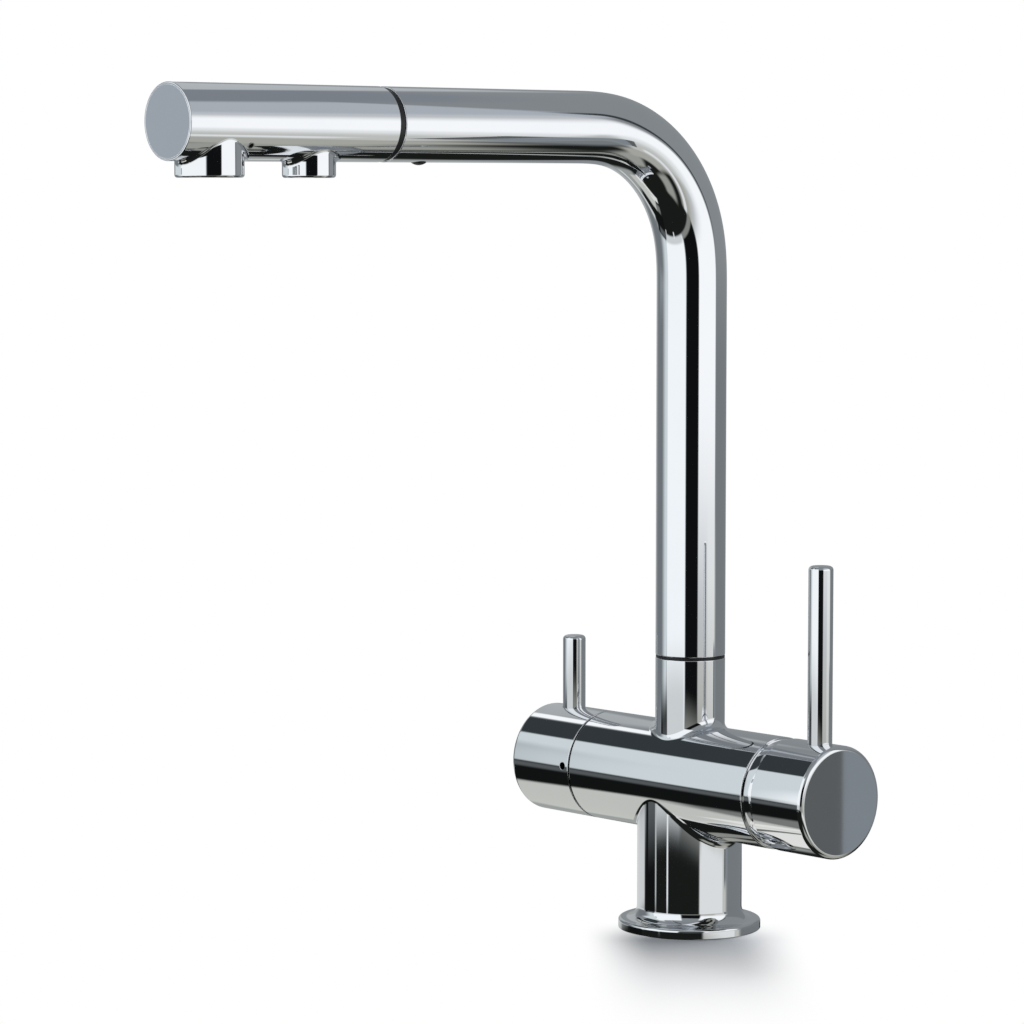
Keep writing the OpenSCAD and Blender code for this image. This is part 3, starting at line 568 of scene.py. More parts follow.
class FineMesh:
    """A mesh in millimetres that keeps the true normal of its surface at every vertex."""

    def __init__(self) -> None:
        """Start empty."""
        self.bm = bmesh.new()
        self.true = self.bm.verts.layers.float_vector.new("true_normal")

    def lay(self, vert: Vert, spot: Spot) -> None:
        """Put a vertex on a spot of the surface."""
        vert.co = spot.place
        vert[self.true] = spot.normal

    def start_ring(self, spots: Sequence[Spot]) -> list[Vert]:
        """Begin with a closed ring.

        Args:
            spots: The ring's spots in order.

        Returns:
            The ring's vertices.
        """
        made = bmesh.ops.create_circle(
            self.bm, cap_ends=False, segments=len(spots), radius=1.0
        )["verts"]
        ring = sorted(made, key=lambda vert: math.atan2(vert.co.y, vert.co.x))
        for vert, spot in zip(ring, spots, strict=True):
            self.lay(vert, spot)
        return ring

    def ring_edges(self, ring: Sequence[Vert]) -> list[bmesh.types.BMEdge]:
        """The edges of a closed ring of vertices."""
        return [
            self.bm.edges.get((a, b)) for a, b in zip(ring, [*ring[1:], ring[0]], strict=True)
        ]

    def grow(self, ring: Sequence[Vert], spots: Sequence[Spot], slot: int = 0) -> list[Vert]:
        """Extrude a closed ring to the next one.

        Args:
            ring: The ring's vertices in order.
            spots: Where the new ring's vertices go.
            slot: The material slot of the new faces.

        Returns:
            The new ring's vertices, in the same order.
        """
        made = bmesh.ops.extrude_edge_only(self.bm, edges=self.ring_edges(ring))["geom"]
        fresh = {part for part in made if isinstance(part, Vert)}
        for part in made:
            if isinstance(part, bmesh.types.BMFace):
                part.material_index = slot
        grown = []
        for vert, spot in zip(ring, spots, strict=True):
            partner = next(
                e.other_vert(vert) for e in vert.link_edges if e.other_vert(vert) in fresh
            )
            self.lay(partner, spot)
            grown.append(partner)
        return grown

    def close(self, ring: Sequence[Vert], slot: int = 0) -> None:
        """Fill a flat ring with one face."""
        for face in bmesh.ops.edgeloop_fill(self.bm, edges=self.ring_edges(ring))["faces"]:
            face.material_index = slot

    def turn(self, outline: Sequence[Bend], spindle: Spindle, steps: int = ROUND) -> None:
        """Spin an outline all the way round an axis.

        Args:
            outline: The outline's points, each with its normal.
            spindle: The axis.
            steps: How many pieces the full turn has.
        """
        before = set(self.bm.verts)
        verts = []
        for bend in outline:
            place = spindle.origin + spindle.along * bend.height + spindle.across * bend.radius
            vert = self.bm.verts.new(place)
            vert[self.true] = Vector((bend.out, bend.up, 0.0))
            verts.append(vert)
        edges = [self.bm.edges.new(pair) for pair in zip(verts, verts[1:], strict=False)]
        bmesh.ops.spin(
            self.bm,
            geom=[*verts, *edges],
            cent=spindle.origin,
            axis=spindle.along,
            angle=2 * math.pi,
            steps=steps,
            use_merge=True,
        )
        for vert in self.bm.verts:
            if vert in before:
                continue
            out, up, _ = vert[self.true]
            reach = vert.co - spindle.origin
            radial = reach - spindle.along * reach.dot(spindle.along)
            sideways = radial.normalized() * out if radial.length > WELD else Vector()
            vert[self.true] = (sideways + spindle.along * up).normalized()

    def finish(self, name: str) -> Piece:
        """Weld the seams, face everything outwards and make the object, in metres.

        A face corner takes the kept normal where it belongs to the face's own surface, and
        the face's own flat normal elsewhere, as on the flat side of a sharp edge.

        Args:
            name: The object's name.

        Returns:
            The finished object.
        """
        bmesh.ops.remove_doubles(self.bm, verts=self.bm.verts, dist=WELD)
        bmesh.ops.dissolve_degenerate(self.bm, edges=self.bm.edges, dist=WELD / 4)
        bmesh.ops.recalc_face_normals(self.bm, faces=self.bm.faces)
        bmesh.ops.scale(self.bm, vec=(MM, MM, MM), verts=self.bm.verts)
        open_edges = sum(1 for edge in self.bm.edges if len(edge.link_faces) != 2)
        mesh = bpy.data.meshes.new(name)
        self.bm.to_mesh(mesh)
        self.bm.free()
        kept = [tuple(item.vector) for item in mesh.attributes["true_normal"].data]
        normals = []
        for face in mesh.polygons:
            face.use_smooth = True
            flat = face.normal
            for index in face.vertices:
                true = Vector(kept[index])
                match = true.dot(flat)
                if abs(match) < SAME_SURFACE:
                    normals.append(tuple(flat))
                else:
                    normals.append(tuple(true if match > 0 else -true))
        mesh.normals_split_custom_set(normals)
        mesh.attributes.remove(mesh.attributes["true_normal"])
        LOG.info("%s: %d faces, %d open edges", name, len(mesh.polygons), open_edges)
        return add_object(name, mesh)


def turned_piece(
    name: str, outline: Sequence[Bend], spindle: Spindle, steps: int = ROUND
) -> Piece:
    """Make a piece that is one outline turned about an axis.

    Args:
        name: The object's name.
        outline: The outline's points, from the axis or round to its first point again.
        spindle: The axis.
        steps: How many pieces the full turn has.

    Returns:
        The finished object.
    """
    mesh = FineMesh()
    mesh.turn(outline, spindle, steps)
    return mesh.finish(name)


@dataclass(frozen=True)
class FlatRing:
    """A moulded ring with rounded edges: its radii, its reach along its axis, its roundings."""

    bore: float
    radius: float
    near: float
    far: float
    bore_edge: float
    outer_edge: float
    edge_steps: int

    def build(self, name: str, spindle: Spindle) -> Piece:
        """Turn the ring, from the middle of its bore all the way round.

        Args:
            name: The object's name.
            spindle: The ring's axis.

        Returns:
            The finished object.
        """
        middle = (self.near + self.far) / 2
        corners = [
            (self.bore, middle, 0),
            (self.bore, self.near, self.bore_edge),
            (self.radius, self.near, self.outer_edge),
            (self.radius, self.far, self.outer_edge),
            (self.bore, self.far, self.bore_edge),
            (self.bore, middle, 0),
        ]
        return turned_piece(name, rounded_outline(corners, self.edge_steps), spindle)


@dataclass(frozen=True)
class Branch:
    """A round branch, or a hole, square to a pipe, with a rolled rounding where they meet."""

    pipe: Pipe
    at: float
    angle: float
    radius: float
    rounding: float
    is_hole: bool = False

    def directions(self) -> tuple[Vector, Vector, Vector]:
        """Along the pipe, round the pipe, and out along the branch."""
        pipe = self.pipe
        out = pipe.across * math.cos(self.angle) + pipe.side * math.sin(self.angle)
        return pipe.along, pipe.along.cross(out), out

    def ball(self, theta: float) -> tuple[float, float, float]:
        """The centre of the ball that rolls round the corner.

        Args:
            theta: The angle round the branch.

        Returns:
            The centre along the pipe, round it and out from its axis.
        """
        spread = self.radius + self.rounding
        far = self.pipe.radius + (-self.rounding if self.is_hole else self.rounding)
        x, y = spread * math.cos(theta), spread * math.sin(theta)
        return x, y, math.sqrt(far * far - y * y)

    def contact(self, theta: float) -> tuple[float, float]:
        """Where the ball touches the pipe: distance along it and angle round it."""
        x, y, z = self.ball(theta)
        return self.at + x, self.angle + math.atan2(y, z)

    def place(self, x: float, y: float, z: float) -> Vector:
        """A point given along the pipe, round it and out from its axis."""
        along, round_it, out = self.directions()
        return self.pipe.origin + along * (self.at + x) + round_it * y + out * z

    def rolled(self, theta: float, share: float) -> Spot:
        """A spot of the rounding.

        Args:
            theta: The angle round the branch.
            share: 0 at the pipe, 1 at the branch's own wall.

        Returns:
            The spot.
        """
        x, y, z = self.ball(theta)
        towards = Vector((0.0, y, z)).normalized() * (1.0 if self.is_hole else -1.0)
        inward = Vector((-math.cos(theta), -math.sin(theta), 0.0))
        way = towards.slerp(inward, share)
        spot = self.place(*(Vector((x, y, z)) + way * self.rounding))
        along, round_it, out = self.directions()
        normal = along * way.x + round_it * way.y + out * way.z
        return Spot(spot, normal if self.is_hole else -normal)

    def circle(self, thetas: Sequence[float], bend: Bend) -> list[Spot]:
        """A ring round the branch's own axis.

        Args:
            thetas: The angles of its spots.
            bend: Radius, distance out from the pipe's axis, and normal.

        Returns:
            The ring's spots.
        """
        along, round_it, out = self.directions()
        spots = []
        for theta in thetas:
            c, s = math.cos(theta), math.sin(theta)
            place = self.place(bend.radius * c, bend.radius * s, bend.height)
            radial = along * c + round_it * s
            spots.append(Spot(place, radial * bend.out + out * bend.up))
        return spots


@dataclass(frozen=True)
class Window:
    """The part of a pipe's skin round one branch, counted in steps round the pipe."""

    branch: Branch
    first: int
    last: int
    rings: int = 14
    rolls: int = 12
    crowding: float = 1.5


@dataclass(frozen=True)
class Opening:
    """What a window leaves open: its innermost ring, and the ring's angles round the branch."""

    branch: Branch
    ring: list[Vert]
    thetas: list[float]


@dataclass
class PipeSkin:
    """Lays the skin of a pipe: windows round its branches and plain patches between them."""

    pipe: Pipe
    mesh: FineMesh

    def band(
        self, low: float, high: float, pieces: int, windows: Sequence[Window]
    ) -> list[Opening]:
        """Lay the skin between two distances along the pipe.

        Args:
            low: Where the band starts.
            high: Where it ends.
            pieces: How many pieces it has along the pipe.
            windows: The windows in it, in order round the pipe.

        Returns:
            What each window leaves open.
        """
        inner = [self.window(low, high, pieces, window) for window in windows]
        for this, following in zip(windows, [*windows[1:], windows[0]], strict=True):
            gap = (following.first - this.last) % ROUND
            if gap:
                self.patch(low, high, pieces, this.last, this.last + gap)
        return inner

    def patch(self, low: float, high: float, pieces: int, first: int, last: int) -> None:
        """Lay a plain patch between two distances and two steps."""
        made = bmesh.ops.create_grid(
            self.mesh.bm, x_segments=pieces, y_segments=last - first, size=1.0
        )["verts"]
        for vert in made:
            reach = low + (high - low) * (vert.co.x + 1) / 2
            step = first + round((last - first) * (vert.co.y + 1) / 2)
            self.mesh.lay(vert, self.pipe.spot(reach, step * STEP))

    def window(self, low: float, high: float, pieces: int, window: Window) -> Opening:
        """Lay the skin round one branch, and the rounding up to the branch's wall.

        Args:
            low: Where the window starts along the pipe.
            high: Where it ends.
            pieces: How many pieces its sides have along the pipe.
            window: The window.

        Returns:
            What the window leaves open.
        """
        first, last = window.first, window.last
        reaches = [low + (high - low) * k / pieces for k in range(pieces + 1)]
        border = [(high, k * STEP) for k in range(first, last)]
        border += [(reach, last * STEP) for reach in reversed(reaches[1:])]
        border += [(low, k * STEP) for k in range(last, first, -1)]
        border += [(reach, first * STEP) for reach in reaches[:-1]]
        branch, pipe = window.branch, self.pipe
        thetas = [
            math.atan2((angle - branch.angle) * pipe.radius, reach - branch.at)
            for reach, angle in border
        ]
        touch = [branch.contact(theta) for theta in thetas]
        ring = self.mesh.start_ring([pipe.spot(*spot) for spot in border])
        for k in range(1, window.rings + 1):
            share = 1 - (1 - k / window.rings) ** window.crowding
            spots = [
                pipe.spot(a[0] + (b[0] - a[0]) * share, a[1] + (b[1] - a[1]) * share)
                for a, b in zip(border, touch, strict=True)
            ]
            ring = self.mesh.grow(ring, spots)
        for k in range(1, window.rolls + 1):
            share = k / window.rolls
            ring = self.mesh.grow(ring, [branch.rolled(theta, share) for theta in thetas])
        return Opening(branch, ring, thetas)

    def run(
        self, opening: Opening, corners: Sequence[Corner], steps: int = 8, slot: int = 0
    ) -> list[Vert]:
        """Carry a branch on from its opening along an outline.

        Args:
            opening: What the branch's window left open.
            corners: Radius, distance out from the pipe's axis and rounding of each corner.
            steps: How many pieces each rounding has.
            slot: The material slot of the new faces.

        Returns:
            The last ring.
        """
        ring = opening.ring
        for bend in rounded_outline(corners, steps):
            ring = self.mesh.grow(ring, opening.branch.circle(opening.thetas, bend), slot)
        return ring


@dataclass(frozen=True)
class SoftPanel:
    """One panel or gap of the light tent, as seen from the object: sizes in degrees."""

    # An azimuth of 0 is the camera's side, and positive is to the camera's right. A panel that
    # comes later hides the ones before it.
    azimuth: float
    half_width: float
    side_blur: float
    elevation: float
    half_height: float
    edge_blur: float
    colour: str
    strength: float = 1.0
    tilt: float = 0.0


@dataclass
class Studio:
    """A plain light studio: a white floor with a painted shadow tone, one soft lamp and a light
    tent that metal reflects.
    """

    camera_azimuth: float = -41.5
    surround: str = "8F9497"
    background: str = "FFFFFF"
    panels: tuple[SoftPanel, ...] = (
        SoftPanel(0, 181, 1, 79, 16, 10, "878D94"),
        SoftPanel(-165, 25, 10, 60, 16, 10, "BEC3C6"),
        SoftPanel(0, 181, 1, -57, 37, 5, "1C1E1C"),
        SoftPanel(105, 18, 12, -52, 14, 10, "A4A69E"),
        SoftPanel(-168, 16, 10, -30, 22, 10, "A4A8A6"),
        SoftPanel(-140, 32, 4, -50, 12, 5, "D0D1CB"),
        SoftPanel(-135, 40, 6, -58, 4, 2, "F2F2EE"),
        SoftPanel(-118, 8, 4, -52.5, 1.2, 1, "F4F4F0"),
        SoftPanel(-135, 18, 6, -56, 0.5, 0.7, "6A6C68"),
        SoftPanel(-102, 8, 6, -45, 5, 5, "808280"),
        SoftPanel(36, 20, 12, -48, 9, 8, "A2A49C"),
        SoftPanel(121, 30, 4, -9, 17, 8, "7F8487"),
        SoftPanel(-152, 26, 6, -21.5, 3, 2, "DCDEDE"),
        SoftPanel(-171, 11, 4, 11, 20, 8, "B4B8BA"),
        SoftPanel(-127, 22, 4, 37, 13, 3, "373D40"),
        SoftPanel(-155.5, 4.5, 3, 35, 7, 4, "FAFBFC", 1.2),
        SoftPanel(-98.6, 38, 4, 12.9, 22, 3, "DEE7EA", 1.0, 42),
        SoftPanel(-132, 22, 24, -3, 14, 10, "787E82"),
        SoftPanel(-54, 37, 5, 12, 31, 5, "F4F8FA", 1.2),
        SoftPanel(-55, 35, 10, -16, 4, 4, "DDE1E2"),
        SoftPanel(-105, 16, 4, -26, 12.5, 3, "141616"),
        SoftPanel(-100, 12, 4, -18, 3, 4, "5C6062"),
        SoftPanel(45, 18, 8, -19, 9, 6, "B2B3AC"),
        SoftPanel(76, 15, 8, -17, 13, 6, "CDCFCA"),
        SoftPanel(80, 20, 10, -36, 8, 6, "B4B4AC"),
        SoftPanel(70, 22, 4, 50, 14, 6, "B8BEC5"),
        SoftPanel(58, 30, 3, 13, 20, 22, "FAFBFC", 1.2),
        SoftPanel(54, 27, 3, -22.5, 2.5, 1.5, "F0F2F2"),
        SoftPanel(-52, 2, 1.5, -22, 3.5, 2, "F4F8FA"),
        SoftPanel(-86, 2, 1.5, -22, 3, 2, "C0C4C4"),
        SoftPanel(92, 1.3, 1, 29, 16, 5, "3C4042"),
        SoftPanel(6, 22, 5, 1, 17, 4, "101213"),
        SoftPanel(6, 24, 6, -17.5, 3, 3, "8C8E88"),
        SoftPanel(-87.6, 2.4, 0.6, 17.5, 4, 1, "AAB2BA"),
        SoftPanel(88.6, 3.8, 0.3, -15.5, 6, 1, "899096"),
        SoftPanel(86.2, 1.4, 0.2, -15.5, 6, 1, "626566"),
    )
    tent_centre: tuple[float, float, float] = (0.0, -0.08, 0.15)
    tent_radius: float = 0.6
    tent_splits: int = 5
    fill: str = "F4F6F8"
    fill_strength: float = 0.62
    lamp_watts: float = 14.0
    lamp_size: float = 0.7
    lamp_far: float = 0.75
    lamp_height: float = 1.0
    lamp_turn: float = 30.0
    lens_mm: float = 133.46
    sensor_mm: float = 36.0
    clip: tuple[float, float] = (0.05, 30.0)
    camera_yaw: float = 48.43
    camera_pitch: float = 4.895
    camera_far: float = 1.5218
    camera_aim: tuple[float, float] = (-0.0717, 0.1682)
    floor_size: float = 9.0
    floor_squares: int = 8
    # The grey tones below are a painted shadow, shown only in the patch that the shadow fields
    # shape; the real shadow darkens it further.
    painted_shadow_paper: tuple[str, str] = ("B2B6BC", "B6BABF")
    fibres_per_metre: float = 900.0
    shadow_start: tuple[float, float] = (-0.01, 0.03)
    shadow_side: tuple[float, float] = (0.015, 0.044)
    shadow_reach: float = 0.21
    shadow_fade: float = 2.0

    def sky(self) -> None:
        """Light the object evenly, and show plain white behind it and in clear reflections."""
        world = bpy.data.worlds.new("white_backdrop")
        bpy.context.scene.world = world
        tree = fresh_tree(world)
        paths = add_node(tree, "ShaderNodeLightPath").outputs
        seen = paths["Is Camera Ray"]
        for path in ("Is Glossy Ray", "Is Transmission Ray"):
            seen = add_node(
                tree, "ShaderNodeMath", {0: seen, 1: paths[path]}, operation="MAXIMUM"
            ).outputs[0]
        light = add_node(
            tree,
            "ShaderNodeBackground",
            {"Color": linear(self.fill), "Strength": self.fill_strength},
        )
        plain = add_node(tree, "ShaderNodeBackground", {"Color": linear(self.background)})
        mixed = add_node(
            tree, "ShaderNodeMixShader", {0: seen, 1: light.outputs[0], 2: plain.outputs[0]}
        )
        add_node(tree, "ShaderNodeOutputWorld", {"Surface": mixed.outputs[0]})

    def furnish(self, name: str, bm: bmesh.types.BMesh, material: Material) -> Piece:
        """Make a thing of the studio, which isn't part of the object.

        Args:
            name: The object's name.
            bm: Its shape, in metres.
            material: Its material.

        Returns:
            The finished object.
        """
        mesh = bpy.data.meshes.new(name)
        bm.to_mesh(mesh)
        bm.free()
        mesh.materials.append(material)
        thing = add_object(name, mesh)
        return thing

    def tent(self) -> None:
        """Hang the light tent round the object, which only its polished metal reflects."""
        bm = bmesh.new()
        bmesh.ops.create_icosphere(
            bm,
            subdivisions=self.tent_splits,
            radius=self.tent_radius,
            matrix=Matrix.Translation(self.tent_centre),
        )
        bmesh.ops.reverse_faces(bm, faces=bm.faces)
        tent = self.furnish("light_tent", bm, self.tent_cloth())
        tent.visible_camera = False
        tent.visible_diffuse = False
        tent.visible_transmission = False
        tent.visible_shadow = False

    def tent_cloth(self) -> Material:
        """The tent's lit and shaded parts.

        Returns:
            The tent's material.
        """
        material = bpy.data.materials.new("light_tent_cloth")
        tree = fresh_tree(material)
        material.cycles.emission_sampling = "NONE"
        where = add_node(tree, "ShaderNodeTexCoord").outputs["Object"]
        off = add_node(
            tree, "ShaderNodeVectorMath", {0: where, 1: self.tent_centre}, operation="SUBTRACT"
        )
        way = add_node(tree, "ShaderNodeVectorMath", {0: off.outputs[0]}, operation="NORMALIZE")
        part = add_node(tree, "ShaderNodeSeparateXYZ", {0: way.outputs[0]}).outputs
        turn = add_node(tree, "ShaderNodeMath", {0: part[1], 1: part[0]}, operation="ARCTAN2")
        rise = add_node(tree, "ShaderNodeMath", {0: part[2]}, operation="ARCSINE")
        azimuth, elevation = (
            add_node(
                tree,
                "ShaderNodeMath",
                {0: angle.outputs[0], 1: 180 / math.pi},
                operation="MULTIPLY",
            ).outputs[0]
            for angle in (turn, rise)
        )
        colour = add_node(tree, "ShaderNodeRGB").outputs[0]
        colour.default_value = linear(self.surround)
        for panel in self.panels:
            colour = self.over(tree, colour, panel, azimuth, elevation)
        glow = add_node(tree, "ShaderNodeEmission", {"Color": colour})
        add_node(tree, "ShaderNodeOutputMaterial", {"Surface": glow.outputs[0]})
        return material

    def over(
        self, tree: Tree, below: Socket, panel: SoftPanel, azimuth: Socket, elevation: Socket
    ) -> Socket:
        """Lay one panel over what is behind it.

        Args:
            tree: The tent's nodes.
            below: The colour so far.
            panel: The panel.
            azimuth: The direction's azimuth in degrees.
            elevation: The direction's elevation in degrees.

        Returns:
            The colour with the panel in it.
        """
        off, upward = (
            add_node(
                tree, "ShaderNodeMath", {0: angle, 1: float(middle)}, operation="SUBTRACT"
            ).outputs[0]
            for angle, middle in (
                (azimuth, panel.azimuth + self.camera_azimuth),
                (elevation, panel.elevation),
            )
        )
        across = add_node(tree, "ShaderNodeMath", {0: off, 1: 180.0, 2: -180.0}, operation="WRAP")
        place = add_node(tree, "ShaderNodeCombineXYZ", {0: across.outputs[0], 1: upward})
        turned = add_node(
            tree,
            "ShaderNodeMapping",
            {"Vector": place.outputs[0], "Rotation": (0.0, 0.0, -math.radians(panel.tilt))},
        )
        sides = add_node(tree, "ShaderNodeSeparateXYZ", {0: turned.outputs[0]}).outputs
        shares = []
        for side, half, blur in (
            (sides[0], panel.half_width, panel.side_blur),
            (sides[1], panel.half_height, panel.edge_blur),
        ):
            distance = add_node(tree, "ShaderNodeMath", {0: side}, operation="ABSOLUTE")
            share = add_node(
                tree,
                "ShaderNodeMapRange",
                {
                    "Value": distance.outputs[0],
                    "From Min": half - blur / 2,
                    "From Max": half + blur / 2,
                    "To Min": 1.0,
                    "To Max": 0.0,
                },
                interpolation_type="SMOOTHSTEP",
            )
            shares.append(share.outputs[0])
        cover = add_node(
            tree, "ShaderNodeMath", {0: shares[0], 1: shares[1]}, operation="MULTIPLY"
        )
        tone = linear(panel.colour)
        bright = tuple(c * panel.strength for c in tone[:3]) + (1.0,)
        mix = add_node(
            tree,
            "ShaderNodeMix",
            {"Factor": cover.outputs[0], MIX_A: below, MIX_B: bright},
            data_type="RGBA",
            clamp_factor=True,
        )
        return mix.outputs[MIX_RESULT]

    def lamp(self) -> None:
        """Hang one soft lamp behind and above, so that the shadow falls towards the camera."""
        data = bpy.data.lights.new("overhead_softbox", "AREA")
        data.shape = "SQUARE"
        data.size = self.lamp_size
        data.energy = self.lamp_watts
        lamp = add_object("overhead_softbox", data)
        place = self.towards_camera(self.lamp_turn) * -self.lamp_far
        place.z = self.lamp_height
        lamp.location = place
        lamp.rotation_euler = (-place).to_track_quat("-Z", "Y").to_euler()
        lamp.visible_glossy = False

    def floor(self) -> None:
        """Lay the white floor, which shows the camera the object's soft shadow, partly real and
        partly painted.
        """
        bm = bmesh.new()
        squares, half = self.floor_squares, self.floor_size / 2
        bmesh.ops.create_grid(bm, x_segments=squares, y_segments=squares, size=half)
        floor = self.furnish("studio_floor", bm, self.floor_paper())
        floor.visible_glossy = False

    def floor_paper(self) -> Material:
        """White seamless floor that, beside the object, shows a grey painted shadow tone, which
        the real shadow darkens further.

        Returns:
            The floor's material.
        """
        material = bpy.data.materials.new("white_paper_painted_shadow")
        tree = fresh_tree(material)
        where = add_node(tree, "ShaderNodeTexCoord").outputs["Object"]
        fibre = add_node(
            tree,
            "ShaderNodeTexNoise",
            {"Vector": where, "Scale": self.fibres_per_metre, "Detail": 2.0},
        )
        low, high = (linear(colour) for colour in self.painted_shadow_paper)
        tone = add_node(
            tree,
            "ShaderNodeMix",
            {"Factor": fibre.outputs[0], MIX_A: low, MIX_B: high},
            data_type="RGBA",
        )
        painted_shadow_paper = add_node(tree, "ShaderNodeBsdfDiffuse", {"Color": tone.outputs[MIX_RESULT]})
        paths = add_node(tree, "ShaderNodeLightPath").outputs
        glow = add_node(
            tree,
            "ShaderNodeEmission",
            {"Color": linear(self.background), "Strength": paths["Is Camera Ray"]},
        )
        share = self.shadow_share(tree, where)
        shown = add_node(
            tree, "ShaderNodeMixShader", {0: share, 1: glow.outputs[0], 2: painted_shadow_paper.outputs[0]}
        )
        add_node(tree, "ShaderNodeOutputMaterial", {"Surface": shown.outputs[0]})
        return material

    def shadow_share(self, tree: Tree, where: Socket) -> Socket:
        """How much of the grey diffuse floor shows, a painted shadow tone that the real shadow
        darkens: most beside the flange, none further out.

        Args:
            tree: The floor's nodes.
            where: The place on the floor.

        Returns:
            The share, from 0 to 1.
        """
        ahead = self.towards_camera()
        patch = add_node(
            tree,
            "ShaderNodeMapping",
            {"Vector": where, "Rotation": (0.0, 0.0, math.atan2(ahead.y, ahead.x))},
            vector_type="TEXTURE",
        )
        spot = add_node(tree, "ShaderNodeSeparateXYZ", {0: patch.outputs[0]}).outputs
        aside = add_node(tree, "ShaderNodeMath", {0: spot[1]}, operation="ABSOLUTE")
        begun, outside, left = (
            add_node(
                tree,
                "ShaderNodeMapRange",
                {"Value": value, "From Min": low, "From Max": high},
                interpolation_type=fall,
            ).outputs[0]
            for value, low, high, fall in (
                (spot[0], *self.shadow_start, "SMOOTHSTEP"),
                (aside.outputs[0], *self.shadow_side, "SMOOTHSTEP"),
                (spot[0], self.shadow_reach, self.shadow_start[1], "LINEAR"),
            )
        )
        inside = add_node(tree, "ShaderNodeMath", {0: 1.0, 1: outside}, operation="SUBTRACT")
        share = add_node(
            tree, "ShaderNodeMath", {0: left, 1: self.shadow_fade}, operation="POWER"
        )
        for limit in (inside.outputs[0], begun):
            share = add_node(
                tree, "ShaderNodeMath", {0: share.outputs[0], 1: limit}, operation="MULTIPLY"
            )
        return share.outputs[0]

    def towards_camera(self, turn: float = 0.0) -> Vector:
        """The level direction from the object to the camera, turned to the camera's left.

        Args:
            turn: The turn, in degrees.

        Returns:
            The direction.
        """
        yaw = math.radians(self.camera_yaw - turn)
        return Vector((math.sin(yaw), -math.cos(yaw), 0.0))

    def camera(self) -> None:
        """Stand the camera where the photograph was taken from."""
        data = bpy.data.cameras.new("photo_camera")
        data.sensor_fit = "HORIZONTAL"
        data.sensor_width = self.sensor_mm
        data.lens = self.lens_mm
        data.clip_start, data.clip_end = self.clip
        camera = add_object("photo_camera", data)
        yaw, pitch = math.radians(self.camera_yaw), math.radians(self.camera_pitch)
        right = Vector((math.cos(yaw), math.sin(yaw), 0.0))
        back = Vector(
            (math.sin(yaw) * math.cos(pitch), -math.cos(yaw) * math.cos(pitch), math.sin(pitch))
        )
        turned = Matrix((right, back.cross(right), back)).transposed().to_4x4()
        sideways, height = self.camera_aim
        turned.translation = Vector((0, 0, height)) + back * self.camera_far + right * sideways
        camera.matrix_world = turned
        bpy.context.scene.camera = camera

    def build(self) -> None:
        """Set up the whole studio."""
        self.camera()
        self.sky()
        self.tent()
        self.lamp()
        self.floor()
        bpy.context.scene.view_settings.view_transform = "Standard"


@dataclass(kw_only=True)
class OnBarrel:
    """What the casting and both knobs share: the barrel's axis and its radius."""

    axis_height: float = 60.5
    radius: float = 22.2

    def barrel(self) -> Pipe:
        """The barrel's skin, with angle zero at the top and a quarter turn at the front."""
        return Pipe(Vector((0, 0, self.axis_height)), RIGHT, UP, self.radius)


